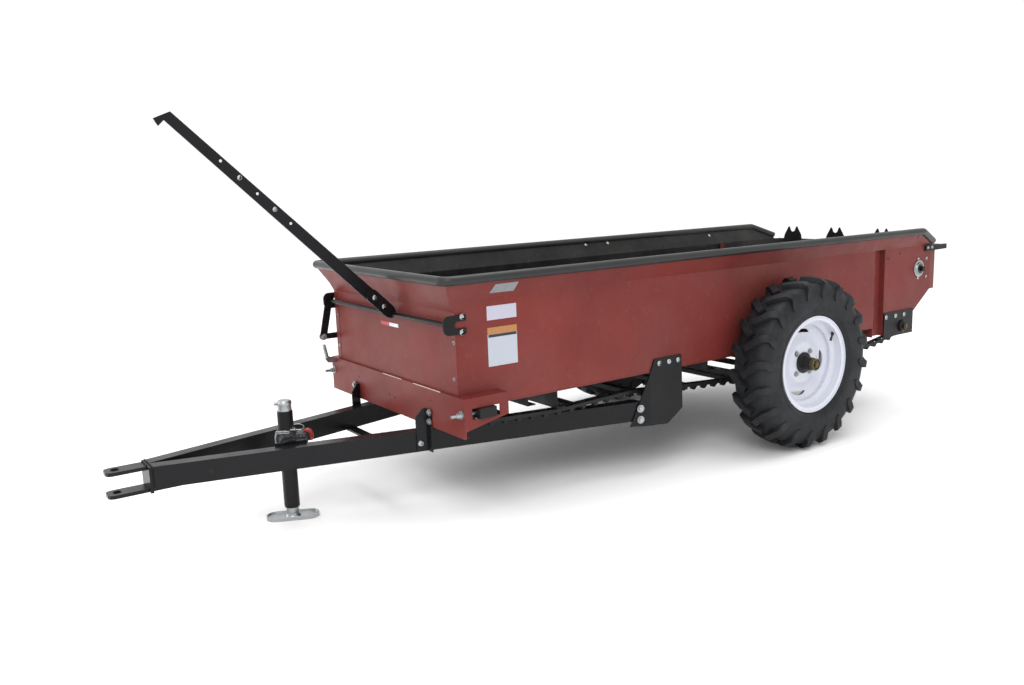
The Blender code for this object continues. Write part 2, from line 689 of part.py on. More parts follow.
def beater(root):
    """A tube with pairs of toothed paddles on a shaft that runs in the rear side panels' bearings."""
    axis = empty("beater_axis", (0, BEATER_Y, BEATER_Z), root)
    half = HALF - SHEET - 0.012
    body = add("beater", rod_shape((-half, 0, 0), (half, 0, 0), BEATER_TUBE_R, 24), black_paint(), axis, True)
    reach = HALF + 0.030
    combine(body, "UNION", rod_shape((-reach, 0, 0), (reach, 0, 0), BEATER_SHAFT_R, 24))
    for number in range(PADDLES):
        x = (number - (PADDLES - 1) / 2) * PADDLE_STEP
        for turn in (0, 180):
            paddle = paddle_shape()
            angle = math.radians(turn + 90 * (number % 2) + 90)
            skew = Matrix.Rotation(math.radians(20), 4, "Z")
            bmesh.ops.transform(paddle, matrix=Matrix.Translation((x, 0, 0)) @ Matrix.Rotation(angle, 4, "X") @ skew,
                                verts=paddle.verts)
            combine(body, "UNION", paddle)
    bearing_r = 0.042
    for side in (1, -1):
        inner = HALF + GAP
        ring = [(inner, BEATER_SHAFT_R + BORE_CLEARANCE), (inner, bearing_r), (inner + 0.006, bearing_r),
                (inner + 0.014, 0.024), (inner + 0.014, BEATER_SHAFT_R + BORE_CLEARANCE)]
        bm = turned([(side * x, r) for x, r in ring], 32)
        bmesh.ops.translate(bm, vec=(0, BEATER_Y, BEATER_Z), verts=bm.verts)
        add(side_name("beater_bearing", side), bm, zinc(), root, True)
    return axis


def paddle_shape():
    """One paddle: a plate with two teeth, standing on the tube towards +Z."""
    half = PADDLE_W / 2
    foot = BEATER_TUBE_R - 0.006
    outline = [(-half, foot), (half, foot), (half, BEATER_R * 0.70), (half * 0.45, BEATER_R),
               (0, BEATER_R * 0.86), (-half * 0.45, BEATER_R), (-half, BEATER_R * 0.70)]
    return prism(outline, -PADDLE_T / 2, PADDLE_T / 2, "Y")


def shaft_holes(root):
    """Cuts the bearing plates and rear side panels where the shafts pass."""
    room = 0.0012
    for side in (1, -1):
        panel = bpy.data.objects[side_name("rear_side_panel", side)]
        start, end = (HALF - 0.02) * side, (HALF + 0.04) * side
        combine(panel, "DIFFERENCE", rod_shape((start, BEATER_Y, BEATER_Z), (end, BEATER_Y, BEATER_Z), 0.022, 24))
        plate = bpy.data.objects[side_name("shaft_bearing_plate", side)]
        combine(plate, "DIFFERENCE", rod_shape((start, REAR_SHAFT, SHAFT_Z), (end, REAR_SHAFT, SHAFT_Z),
                                               SHAFT_R + room / 2, 24))


def drive_guard(root):
    """The cover over the drive from the right-hand wheel up to the beater, with holes for both shafts."""
    outline = bar_outline((0, TYRE_R), (BEATER_Y, BEATER_Z), GUARD_W, 10)
    outer = -(HALF + GAP + GUARD_T)
    guard = add("drive_guard", prism(outline, outer, -(HALF + GAP), "X"), black_paint(), root)
    for place, radius in (((0, TYRE_R), 0.040), ((BEATER_Y, BEATER_Z), 0.046)):
        combine(guard, "DIFFERENCE", across(place, outer - 0.01, -(HALF + GAP) + 0.01, radius, 32))


def tail_bar(root):
    """The bar across the rear, and the bracket that carries it on each side."""
    front, rear, low, high = TAIL_BRACKET
    inner = HALF + GAP
    middle = (low + high) / 2
    y = TAIL_REACH - TAIL_BAR_R - 0.006
    reach = inner + 0.006
    bar = add("tail_bar", rod_shape((-reach, y, middle), (reach, y, middle), TAIL_BAR_R, 20),
              black_paint(), root, True)
    for side in (1, -1):
        outline = [(front, low), (rear, low), (TAIL_REACH, middle - 0.012), (TAIL_REACH, middle + 0.012),
                   (rear, high), (front, high)]
        start, end = sorted((side * inner, side * (inner + 0.008)))
        combine(bar, "UNION", prism(outline, start, end, "X"))
    return bar


def wheels(root):
    """Each wheel: a tyre, a pressed rim with its disc, and a hub on the spindle."""
    for side in (1, -1):
        axis = empty(side_name("wheel_axis", side), (side * TYRE_X, 0, TYRE_R), root)
        add(side_name("tyre", side), turned([(side * x, r) for x, r in tyre_profile()], 56),
            tyre_rubber(), axis, True)
        add(side_name("wheel_rim", side), turned([(side * x, r) for x, r in rim_profile()], 56),
            white_paint(), axis, True)
        add(side_name("hub", side), turned([(side * x, r) for x, r in hub_profile()], 32),
            dark_steel(), axis, True)


def tyre_profile():
    half = TYRE_W / 2
    bead = RIM_SEAT_R + GAP
    inside = RIM_W / 2 - 0.008
    outer = [(-inside, bead), (-inside, RIM_R + 0.001), (-half * 0.86, RIM_R + 0.006), (-half * 0.99, RIM_R + 0.040),
             (-half, RIM_R + 0.070), (-half * 0.97, TYRE_R - 0.045), (-half * 0.90, TYRE_R - 0.014),
             (-half * 0.55, TYRE_R - 0.003), (0, TYRE_R)]
    ring = outer + [(-x, r) for x, r in reversed(outer[:-1])]
    crown = TYRE_R - 0.045
    wall = [(inside - 0.012, bead + 0.020), (half * 0.80, RIM_R + 0.060), (half * 0.76, crown - 0.010),
            (0, crown)]
    mirrored = [(-x, r) for x, r in reversed(wall[:-1])]
    return ring + [(inside - 0.012, bead)] + wall + mirrored + [(-inside + 0.012, bead)]


def rim_profile():
    """The rim's trough and its disc, as one turned outline. The disc's outer face is towards +x."""
    half = RIM_W / 2
    wall = 0.003
    seat = RIM_SEAT_R
    well = seat - 0.022
    outside = [(-half, RIM_R), (-half + 0.006, RIM_R), (-half + 0.007, seat), (-0.034, seat), (-0.026, well),
               (0.026, well), (0.034, seat), (half - 0.007, seat), (half - 0.006, RIM_R), (half, RIM_R)]
    inside = [(half - 0.003, seat - wall), (0.036, seat - wall), (0.028, well - wall)]
    face = DISC_OUT
    hole = HUB_R + GAP
    disc = [(face + 0.008, well - wall), (face + 0.006, well - 0.020), (face - 0.012, well - 0.045),
            (face - 0.010, 0.095), (face, 0.080), (face, hole), (face - 0.006, hole), (face - 0.006, 0.078),
            (face - 0.016, 0.092), (face - 0.018, well - 0.048), (face, well - 0.022),
            (face + 0.002, well - wall)]
    back = [(-0.028, well - wall), (-0.036, seat - wall), (-half + 0.003, seat - wall)]
    return outside + inside + disc + back


def hub_profile():
    """The hub: an inner barrel, the flange behind the disc, and the outer barrel, with a blind bore."""
    bore = SPINDLE_R + BORE_CLEARANCE
    flange = DISC_OUT - 0.006 - GAP
    end = HUB_OUT
    return [(-HUB_IN, bore), (-HUB_IN, HUB_R), (flange - 0.008, HUB_R), (flange - 0.008, HUB_FLANGE_R),
            (flange, HUB_FLANGE_R), (flange, HUB_R), (end - 0.028, HUB_R), (end - 0.026, HUB_R + 0.003),
            (end - 0.004, HUB_R + 0.003), (end, HUB_R - 0.002), (end, 0), (end - 0.012, 0), (end - 0.012, bore)]


def bar_outline(start, end, width, round_steps=4):
    """The outline of a flat bar with round ends, from one pin to another, in (y, z)."""
    start, end = Vector(start), Vector(end)
    along = math.atan2(end.y - start.y, end.x - start.x)
    points = []
    for centre, first in ((end, along - math.pi / 2), (start, along + math.pi / 2)):
        for step in range(round_steps + 1):
            angle = first + math.pi * step / round_steps
            points.append((centre.x + width / 2 * math.cos(angle), centre.y + width / 2 * math.sin(angle)))
    return points


def across(place, start_x, end_x, radius, segments=16):
    """A round bar along X at a (y, z) place."""
    return rod_shape((start_x, *place), (end_x, *place), radius, segments)


def control(root):
    """The rod across the front with its crank and bracket, and the hand lever bolted to the bracket."""
    axis = empty("lever_axis", (0, ROD_Y, ROD_Z), root)
    crank_x = -(HALF + 0.010)
    left_end = HALF - 0.008
    rod = add("control_rod", across((0, 0), crank_x - CRANK_T, left_end, ROD_R, 20), dark_steel(), axis, True)
    crank = prism(bar_outline((0, 0), CRANK, CRANK_W), crank_x - CRANK_T, crank_x, "X")
    combine(rod, "UNION", crank)
    combine(rod, "UNION", across(CRANK, crank_x - CRANK_T - LINK_T - 0.012, crank_x, JOINT_PIN_R))
    bend = Vector((LEVER_BEND[0] - ROD_Y, LEVER_BEND[1] - ROD_Z))
    tip = Vector((LEVER_TIP[0] - ROD_Y, LEVER_TIP[1] - ROD_Z))
    along = bend.normalized()
    outside = LEVER_X + LEVER_T
    bracket = prism(bar_outline(along * 0.014, along * BRACKET_L, LEVER_W + 0.002),
                    outside + GAP, outside + GAP + 0.006, "X")
    combine(rod, "UNION", bracket)
    unit = Vector((-along.y, along.x))
    side = unit * LEVER_W / 2
    hook = (tip - bend).normalized()
    hook_side = Vector((-hook.y, hook.x)) * LEVER_W / 2
    inner = bend - side * 1.0 + hook * 0.012
    turns = [math.radians(angle) for angle in range(10, 171, 20)]
    end = [(unit * math.cos(turn) - along * math.sin(turn)) * LEVER_END_R for turn in turns]
    outline = [side + along * 0.014, *end, along * 0.014 - side, inner,
               tip - hook_side * 0.6, tip + hook_side * 0.6, bend + side]
    lever = add("hand_lever", prism([tuple(point) for point in outline], LEVER_X, outside, "X"),
                black_paint(), axis)
    combine(lever, "DIFFERENCE", across((0, 0), LEVER_X - 0.01, outside + 0.01, ROD_R + GAP, 20))
    linkage(root, axis, crank_x)
    rod_brackets(root, crank_x, left_end)


def rod_brackets(root, crank_x, left_end):
    """The fork-shaped brackets on the front corners that carry the control rod."""
    inner = HALF + GAP
    for side in (1, -1):
        start, end = (inner, inner + FORK_T)
        plate = add(side_name("rod_bracket", side),
                    side_box(side, (start, end), (-1.700, -1.604), (ROD_Z - 0.042, ROD_Z + 0.042)), black_paint(), root)
        combine(plate, "DIFFERENCE", side_box(side, (start - 0.01, end + 0.01), (-1.648, -1.59),
                                              (ROD_Z - 0.014, ROD_Z + 0.014)))
        hole_start, hole_end = sorted((side * (start - 0.02), side * (end + 0.02)))
        combine(plate, "DIFFERENCE", across((ROD_Y, ROD_Z), hole_start, hole_end, ROD_R + ROD_CLEARANCE, 20))


def linkage(root, lever_axis, crank_x):
    """The link from the crank to the clutch arm by the axle, and the pin that the arm turns on."""
    pin_hole = JOINT_PIN_R + ROD_CLEARANCE
    pin = (ROD_Y + CRANK[0], ROD_Z + CRANK[1])
    link_axis = empty("link_axis", (0, *pin), root)
    outside = crank_x - CRANK_T - GAP
    length = CLUTCH_Y - ROD_Y
    link = add("clutch_link", prism(bar_outline((0, 0), (length, 0), LINK_W), outside - LINK_T, outside, "X"),
               black_paint(), link_axis)
    for place in ((0, 0), (length, 0)):
        combine(link, "DIFFERENCE", across(place, outside - LINK_T - 0.01, outside + 0.01, pin_hole))
    arm_axis = empty("clutch_arm_axis", (0, CLUTCH_Y, ROD_Z), root)
    arm = add("clutch_arm", prism(bar_outline((0, 0), CRANK, CRANK_W), crank_x - CRANK_T, crank_x, "X"),
              black_paint(), arm_axis)
    combine(arm, "UNION", across(CRANK, crank_x - CRANK_T - LINK_T - 0.0036, crank_x, JOINT_PIN_R))
    combine(arm, "DIFFERENCE", across((0, 0), crank_x - CRANK_T - 0.01, crank_x + 0.01, pin_hole))
    panel = bpy.data.objects["side_panel_right"]
    combine(panel, "UNION", across((CLUTCH_Y, ROD_Z), crank_x - CRANK_T - 0.006, 0.002 - HALF, JOINT_PIN_R))
    combine(panel, "UNION", across((CLUTCH_Y, ROD_Z), crank_x + 0.0012, 0.002 - HALF, 0.014))
    crank_stop(root, crank_x - CRANK_T / 2)


def crank_stop(root, x):
    """The adjustable stop under the crank: an arm from the lower front plate and an upright screw."""
    face = LOWER_FRONT - GAP
    start, end = x - 0.004, x + 0.004
    low = STOP_ROOT - 0.012
    outline = [(face, low), (face, STOP_ROOT + 0.008), (STOP_ELBOW[0], STOP_ELBOW[1] + 0.008),
               (STOP_ELBOW[0] - 0.010, STOP_ELBOW[1] - 0.004), (STOP_ELBOW[0] + 0.002, low + 0.004)]
    stop = add("crank_stop", prism(outline, start, end, "X"), zinc(), root)
    combine(stop, "UNION", rod_shape((x, *STOP_ELBOW), (x, *STOP_TIP), 0.007, 16))


def jack(root):
    """The swivel jack: a socket on the left beam, the outer tube with its collar and cap, and the sliding leg."""
    slope = math.tan(BEAM_ANGLE)
    inner_x = NOSE_HALF - BEAM_SPAN + (JACK_Y - NOSE_Y) * slope
    pivot = empty("jack_axis", (0, JACK_Y, JACK_PIVOT_Z), root, -BEAM_ANGLE)
    reach = inner_x * math.cos(BEAM_ANGLE) - 2 * GAP
    socket_in = 0.062
    z_mid = BEAM_Z + BEAM_H / 2 - JACK_PIVOT_Z
    mount = add("jack_socket", across((0, 0), socket_in, reach, SOCKET_R, 28), black_paint(), pivot, True)
    combine(mount, "UNION", box_shape((reach - 0.008, -0.055, z_mid - BEAM_H / 2 + 0.003),
                                      (reach, 0.055, z_mid + BEAM_H / 2 + 0.012)))
    tube = add("jack_tube", rod_shape((0, 0, JACK_BOTTOM - JACK_PIVOT_Z), (0, 0, JACK_TOP - JACK_PIVOT_Z), JACK_R, 28),
               black_paint(), pivot, True)
    combine(tube, "DIFFERENCE", rod_shape((0, 0, JACK_BOTTOM - JACK_PIVOT_Z - 0.02),
                                          (0, 0, JACK_TOP - JACK_PIVOT_Z - 0.04), LEG_R + LEG_CLEARANCE, 28))
    collar = add("jack_collar", rod_shape((0, 0, -0.045), (0, 0, 0.072), COLLAR_R, 28), cast_grey(), pivot, True)
    combine(collar, "UNION", across((0, 0), 0.020, socket_in - GAP, SOCKET_R + 0.006, 28))
    combine(collar, "DIFFERENCE", rod_shape((0, 0, -0.06), (0, 0, 0.09), JACK_R + GAP, 28))
    cap_low = JACK_TOP - JACK_PIVOT_Z - 0.002
    cap_high = JACK_CAP_TOP - JACK_PIVOT_Z
    combine(tube, "UNION", rod_shape((0, 0, cap_low), (0, 0, cap_high), JACK_R - 0.004, 24))
    combine(tube, "UNION", rod_shape((0, -0.045, cap_high - 0.011), (0, 0, cap_high - 0.011), 0.008, 16))
    low = -JACK_PIVOT_Z
    outline = bar_outline((-(FOOT_L - FOOT_W) / 2, 0), ((FOOT_L - FOOT_W) / 2, 0), FOOT_W, 8)
    leg = add("jack_leg", prism([(y, x) for x, y in outline], low, low + FOOT_T, "Z"), zinc(), pivot)
    combine(leg, "UNION", rod_shape((0, 0, low + FOOT_T / 2), (0, 0, JACK_TOP - JACK_PIVOT_Z - 0.060), LEG_R, 28))


def build():
    clear_scene()
    root = empty("spreader", (0, AXLE_Y, 0))
    side_panels(root)
    rear_side_panels(root)
    front_panel(root)
    lower_front_plate(root)
    floor(root)
    rails(root)
    members(root)
    axle(root)
    drawbar(root)
    hangers(root)
    side_plates(root)
    bearing_plates(root)
    apron_shafts(root)
    apron(root)
    beater(root)
    shaft_holes(root)
    tail_bar(root)
    drive_guard(root)
    wheels(root)
    control(root)
    jack(root)


build()
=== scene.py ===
"""The looks of a towed box spreader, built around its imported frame. Metres, +Z up, +X the machine's left."""

import math

import bmesh
import bpy
from mathutils import Matrix, Vector


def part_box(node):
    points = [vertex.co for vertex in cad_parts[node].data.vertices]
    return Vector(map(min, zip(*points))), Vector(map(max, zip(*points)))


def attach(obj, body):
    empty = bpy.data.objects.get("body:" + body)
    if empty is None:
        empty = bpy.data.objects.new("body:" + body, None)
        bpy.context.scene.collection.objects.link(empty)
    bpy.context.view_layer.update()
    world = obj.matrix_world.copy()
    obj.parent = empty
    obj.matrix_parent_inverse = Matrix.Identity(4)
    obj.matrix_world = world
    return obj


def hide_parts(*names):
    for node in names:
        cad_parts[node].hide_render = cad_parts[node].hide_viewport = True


bl_info = {
    "name": "Box Spreader",
    "version": (1, 0, 0),
    "blender": (4, 5, 0),
    "location": "View3D > Sidebar > Spreader",
    "description": "Builds the finished surfaces and hardware of a towed box spreader",
    "category": "Add Mesh",
}

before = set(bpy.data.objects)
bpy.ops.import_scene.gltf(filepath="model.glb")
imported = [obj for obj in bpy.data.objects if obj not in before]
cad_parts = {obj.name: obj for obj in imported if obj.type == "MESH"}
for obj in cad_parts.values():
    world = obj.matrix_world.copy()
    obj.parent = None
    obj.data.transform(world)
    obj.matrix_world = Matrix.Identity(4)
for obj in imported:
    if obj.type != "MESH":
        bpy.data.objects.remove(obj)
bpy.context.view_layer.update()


def middle(node):
    low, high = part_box(node)
    return (Vector(low) + Vector(high)) / 2


SIDES = ((1, "left"), (-1, "right"))
AXLE = middle("tyre_left")
AXLE_Y = AXLE.y
TYRE_R = AXLE.z
TYRE_X = AXLE.x
PANEL_X = 0.491        # outer face of the side panels
FOLD_Z = 0.792         # where the side panels flare outward
FRONT_Y = -1.646       # outer face of the front panel
RAIL_X = 0.539
RAIL_Z = 0.868
RAIL_R = 0.0165
RAIL_FRONT = middle("rim_rail_front").y
FLARE_SLOPE = (RAIL_X - PANEL_X) / (RAIL_Z - FOLD_Z)
PLATE_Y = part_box("lower_front_plate")[0][1]
SEAM_TOP = 0.467
FITTING_X = 0.4973     # outer face of the plates bolted to the side panels
CHAIN_X = 0.430
SHAFT_Z = 0.405
FRONT_SHAFT = -1.568
REAR_SHAFT = 0.929
BEATER_Y = 1.063
BEATER_Z = 0.678
BEAM_ANGLE = math.atan2(0.4375, 1.790)
BEAM_SLOPE = math.tan(BEAM_ANGLE)
BEAM_FRONT = -2.560
BEAM_HALF = 0.0535     # half the width across the beams at their front ends
LEVER_NEAR = 0.0672    # the two faces of the lever's flat bar
LEVER_FAR = 0.0748


def at(x, y, z):
    """A place given from the ground under the axle."""
    return Vector((x, y + AXLE_Y, z))


def on_flare(side, y, z):
    """A place on the outer face of a side panel or its flare."""
    return at(side * (PANEL_X + max(0.0, z - FOLD_Z) * FLARE_SLOPE), y, z)


def flare_normal(side):
    return Vector((side, 0, -FLARE_SLOPE)).normalized()


# ---------------------------------------------------------------- properties


class SpreaderFinish(bpy.types.PropertyGroup):
    red: bpy.props.FloatVectorProperty(
        name="Box Paint", description="Oxide red of the outer panels", subtype="COLOR",
        size=3, min=0, max=1, default=(0.158, 0.0265, 0.0225))
    black: bpy.props.FloatVectorProperty(
        name="Frame Paint", description="Black of the drawbar and frame", subtype="COLOR",
        size=3, min=0, max=1, default=(0.0055, 0.0058, 0.0070))
    inside: bpy.props.FloatVectorProperty(
        name="Box Lining", description="Dark coating inside the box", subtype="COLOR",
        size=3, min=0, max=1, default=(0.0042, 0.0042, 0.0044))
    white: bpy.props.FloatVectorProperty(
        name="Wheel Paint", description="White of the wheel discs", subtype="COLOR",
        size=3, min=0, max=1, default=(0.57, 0.585, 0.655))
    rubber: bpy.props.FloatVectorProperty(
        name="Tyre Rubber", description="Dark grey of the tyres", subtype="COLOR",
        size=3, min=0, max=1, default=(0.0105, 0.0112, 0.0128))
    rail: bpy.props.FloatVectorProperty(
        name="Rail Finish", description="Charcoal of the rolled rail", subtype="COLOR",
        size=3, min=0, max=1, default=(0.020, 0.021, 0.021))


class SpreaderSizes(bpy.types.PropertyGroup):
    lugs: bpy.props.IntProperty(
        name="Lugs", description="Tread bars on each half of a tyre", default=20, min=12, max=30)
    lug_height: bpy.props.FloatProperty(
        name="Lug Height", description="How far a tread bar stands off the carcass", default=0.020,
        min=0.008, max=0.03, unit="LENGTH")
    bolt: bpy.props.FloatProperty(
        name="Bolt Head", description="Radius of a common bolt head", default=0.0095,
        min=0.005, max=0.015, unit="LENGTH")
    chain_pitch: bpy.props.FloatProperty(
        name="Chain Pitch", description="From one chain link to the next", default=0.060,
        min=0.03, max=0.1, unit="LENGTH")
    slat_step: bpy.props.FloatProperty(
        name="Slat Step", description="From one slat to the next", default=0.300,
        min=0.2, max=0.5, unit="LENGTH")


def finish_of():
    return bpy.context.scene.spreader_finish


def sizes_of():
    return bpy.context.scene.spreader_sizes


# ---------------------------------------------------------------- materials


class Nodes:
    """A material's nodes, with short calls for the ones used here."""

    def __init__(self, name):
        self.material = bpy.data.materials.new(name)
        self.material.use_nodes = True
        self.tree = self.material.node_tree
        self.shader = self.tree.nodes["Principled BSDF"]
        self.coords = self.tree.nodes.new("ShaderNodeTexCoord")

    def add(self, kind, **settings):
        node = self.tree.nodes.new(kind)
        for key, value in settings.items():
            setattr(node, key, value)
        return node

    def link(self, start, end):
        self.tree.links.new(start, end)

    def noise(self, scale, detail=4.0, roughness=0.55, stretch=None):
        node = self.add("ShaderNodeTexNoise")
        node.inputs["Scale"].default_value = scale
        node.inputs["Detail"].default_value = detail
        node.inputs["Roughness"].default_value = roughness
        source = self.coords.outputs["Object"]
        if stretch:
            mapping = self.add("ShaderNodeMapping")
            mapping.inputs["Scale"].default_value = stretch
            self.link(source, mapping.inputs["Vector"])
            source = mapping.outputs["Vector"]
        self.link(source, node.inputs["Vector"])
        return node.outputs["Fac"]

    def span(self, value, low, high, to_low=0.0, to_high=1.0):
        node = self.add("ShaderNodeMapRange")
        node.inputs["From Min"].default_value = low
        node.inputs["From Max"].default_value = high
        node.inputs["To Min"].default_value = to_low
        node.inputs["To Max"].default_value = to_high
        self.link(value, node.inputs["Value"])
        return node.outputs["Result"]

    def math(self, operation, first, second=None):
        node = self.add("ShaderNodeMath", operation=operation)
        for socket, value in zip(node.inputs, (first, second)):
            if value is None:
                continue
            if isinstance(value, (int, float)):
                socket.default_value = value
            else:
                self.link(value, socket)
        return node.outputs["Value"]

    def mix(self, factor, first, second):
        node = self.add("ShaderNodeMix", data_type="RGBA")
        if isinstance(factor, (int, float)):
            node.inputs["Factor"].default_value = factor
        else:
            self.link(factor, node.inputs["Factor"])
        for socket, value in ((node.inputs["A"], first), (node.inputs["B"], second)):
            if isinstance(value, (tuple, list)):
                socket.default_value = (*value[:3], 1)
            else:
                self.link(value, socket)
        return node.outputs["Result"]

    def axis(self, letter, output="Object"):
        node = self.tree.nodes.get("split_" + output)
        if not node:
            node = self.add("ShaderNodeSeparateXYZ", name="split_" + output)
            self.link(self.coords.outputs[output], node.inputs["Vector"])
        return node.outputs[letter]

    def bump(self, height, strength, distance=0.001):
        node = self.add("ShaderNodeBump")
        node.inputs["Strength"].default_value = strength
        node.inputs["Distance"].default_value = distance
        self.link(height, node.inputs["Height"])
        if self.shader.inputs["Normal"].is_linked:
            self.link(self.shader.inputs["Normal"].links[0].from_socket, node.inputs["Normal"])
        self.link(node.outputs["Normal"], self.shader.inputs["Normal"])

    def colour(self, value):
        self.link(value, self.shader.inputs["Base Color"])

    def roughness(self, value):
        self.link(value, self.shader.inputs["Roughness"])


def scaled(colour, factor):
    return tuple(min(1, channel * factor) for channel in colour[:3])


def kept(build):
    """Makes each named material once and hands the same one out again."""
    def found(name, *values, **settings):
        return bpy.data.materials.get(name) or build(name, *values, **settings)
    return found


@kept
def coating(name, colour, rough, peel=0.12, patch=0.16, dust=0.10, gloss=0.17, lining=None, face=None):
    """Paint over steel: soft patches, an orange-peel skin, faint scuffs and settled dust.

    With a lining colour, faces that look into the box are lined; face says which way that is.
    """
    nodes = Nodes(name)
    nodes.shader.inputs["Specular IOR Level"].default_value = gloss
    patches = nodes.span(nodes.noise(3.1, 5), 0.3, 0.72)
    base = nodes.mix(patches, scaled(colour, 1 - patch), scaled(colour, 1 + patch))
    if lining is not None:
        if face == "side":
            half = nodes.math("SIGN", nodes.axis("X"))
            turned = nodes.math("MULTIPLY", nodes.axis("X", "Normal"), half)
            up = nodes.math("GREATER_THAN", nodes.axis("Z", "Normal"), 0.5)
            into = nodes.math("MAXIMUM", nodes.math("LESS_THAN", turned, -0.2), up)
        else:
            into = nodes.math("GREATER_THAN", nodes.axis("Y", "Normal"), 0.2)
        grit = nodes.span(nodes.noise(14, 6), 0.35, 0.7)
        base = nodes.mix(into, base, nodes.mix(grit, scaled(lining, 0.7), scaled(lining, 1.5)))
    specks = nodes.span(nodes.noise(46, 8, 0.62), 0.58, 0.74, 0, dust * 0.8)
    film = nodes.span(nodes.noise(2.2, 7, 0.6), 0.42, 0.8, 0, dust)
    powder = nodes.math("ADD", specks, film)
    base = nodes.mix(powder, base, scaled((0.36, 0.33, 0.30), 0.35 + 2.4 * max(colour[:3])))
    scuffs = nodes.span(nodes.noise(30, 9, 0.7, (1, 0.07, 1)), 0.66, 0.72, 0, 0.10)
    base = nodes.mix(scuffs, base, scaled((0.30, 0.29, 0.28), 0.25 + 2.2 * max(colour[:3])))
    nodes.colour(base)
    nodes.roughness(nodes.span(nodes.noise(9, 5), 0.3, 0.7, rough - 0.07, rough + 0.10))
    nodes.bump(nodes.noise(420, 2), peel, 0.0003)
    nodes.bump(nodes.noise(5, 3), 0.08, 0.002)
    return nodes.material


def red_paint():
    return coating("oxide_red_paint", finish_of().red, 0.38)


def red_outside(face):
    inside = tuple(finish_of().inside)
    return coating("oxide_red_panel_" + face, finish_of().red, 0.40, lining=inside, face=face)


def black_paint():
    return coating("black_frame_paint", finish_of().black, 0.30, dust=0.012, gloss=0.20)


def white_paint():
    return coating("white_wheel_paint", finish_of().white, 0.30, patch=0.03, dust=0.04, gloss=0.4)


def rail_finish():
    return coating("charcoal_rail", finish_of().rail, 0.34, dust=0.03, peel=0.2, gloss=0.28)


def dark_steel():
    return coating("oiled_dark_steel", (0.012, 0.012, 0.013), 0.44, dust=0.03, peel=0.25, gloss=0.2)


@kept
def plated(name, colour, rough=0.28):
    """Zinc plating: a bright metal with a faint crystalline spangle and handling marks."""
    nodes = Nodes(name)
    nodes.shader.inputs["Metallic"].default_value = 1.0
    cells = nodes.add("ShaderNodeTexVoronoi")
    cells.inputs["Scale"].default_value = 260
    nodes.link(nodes.coords.outputs["Object"], cells.inputs["Vector"])
    spangle = nodes.span(cells.outputs["Distance"], 0, 0.8)
    base = nodes.mix(spangle, scaled(colour, 0.78), scaled(colour, 1.06))
    marks = nodes.span(nodes.noise(60, 8, 0.65), 0.56, 0.75, 0, 0.5)
    nodes.colour(nodes.mix(marks, base, scaled(colour, 0.5)))
    nodes.roughness(nodes.span(nodes.noise(90, 6), 0.3, 0.7, rough - 0.08, rough + 0.14))
    nodes.bump(nodes.noise(500, 3), 0.1, 0.0002)
    return nodes.material


def zinc():
    return plated("bright_zinc", (0.40, 0.42, 0.43), 0.36)


def yellow_zinc():
    return plated("yellow_zinc", (0.135, 0.105, 0.055), 0.42)


@kept
def casting(name):
    """A rough grey casting with lighter high spots."""
    nodes = Nodes(name)
    nodes.shader.inputs["Metallic"].default_value = 0.55
    lumps = nodes.span(nodes.noise(110, 6, 0.6), 0.38, 0.66)
    nodes.colour(nodes.mix(lumps, (0.030, 0.031, 0.033), (0.105, 0.107, 0.112)))
    nodes.roughness(nodes.span(lumps, 0, 1, 0.62, 0.38))
    nodes.bump(lumps, 0.5, 0.0012)
    return nodes.material


@kept
def moulded(name):
    """Moulded tyre rubber: a fine grain, mould bloom and pale dust in the low places."""
    nodes = Nodes(name)
    colour = tuple(finish_of().rubber)
    bloom = nodes.span(nodes.noise(7, 6), 0.32, 0.72)
    base = nodes.mix(bloom, scaled(colour, 0.75), scaled(colour, 1.6))
    dust = nodes.span(nodes.noise(34, 9, 0.68), 0.54, 0.74, 0, 0.16)
    nodes.colour(nodes.mix(dust, base, (0.085, 0.09, 0.095)))
    nodes.roughness(nodes.span(nodes.noise(18, 6), 0.3, 0.7, 0.46, 0.66))
    nodes.shader.inputs["Specular IOR Level"].default_value = 0.22
    nodes.bump(nodes.noise(700, 3), 0.25, 0.0003)
    nodes.bump(nodes.noise(60, 5), 0.12, 0.0008)
    return nodes.material


@kept
def stained(name):
    """The dark stained floor board with its grain along the box and trodden dirt."""
    nodes = Nodes(name)
    grain = nodes.noise(34, 10, 0.6, (1, 0.05, 1))
    base = nodes.mix(nodes.span(grain, 0.35, 0.65), (0.010, 0.009, 0.008), (0.045, 0.038, 0.030))
    nodes.colour(nodes.mix(nodes.span(nodes.noise(5, 8), 0.5, 0.8, 0, 0.3), base, (0.10, 0.085, 0.065)))
    nodes.roughness(nodes.span(grain, 0.3, 0.7, 0.62, 0.82))
    nodes.bump(grain, 0.35, 0.001)
    return nodes.material


@kept
def plastic(name, colour, rough=0.34):
    nodes = Nodes(name)
    shade = nodes.span(nodes.noise(22, 5), 0.3, 0.7)
    nodes.colour(nodes.mix(shade, scaled(colour, 0.86), scaled(colour, 1.12)))
    nodes.roughness(nodes.span(nodes.noise(70, 4), 0.3, 0.7, rough - 0.06, rough + 0.1))
    nodes.bump(nodes.noise(600, 2), 0.12, 0.0002)
    return nodes.material


@kept
def printed(name, colour, rough=0.32):
    """A vinyl label: one flat ink with slight wear and a fine sheen."""
    nodes = Nodes(name)
    wear = nodes.span(nodes.noise(150, 8, 0.65), 0.55, 0.75, 0, 0.16)
    nodes.colour(nodes.mix(wear, tuple(colour), scaled(colour, 0.6)))
    nodes.roughness(nodes.span(nodes.noise(40, 4), 0.3, 0.7, rough - 0.05, rough + 0.12))
    nodes.bump(nodes.noise(240, 3), 0.06, 0.0002)
    return nodes.material


def cast_grey():
    return casting("rough_casting")


def rubber():
    return moulded("tyre_rubber_compound")


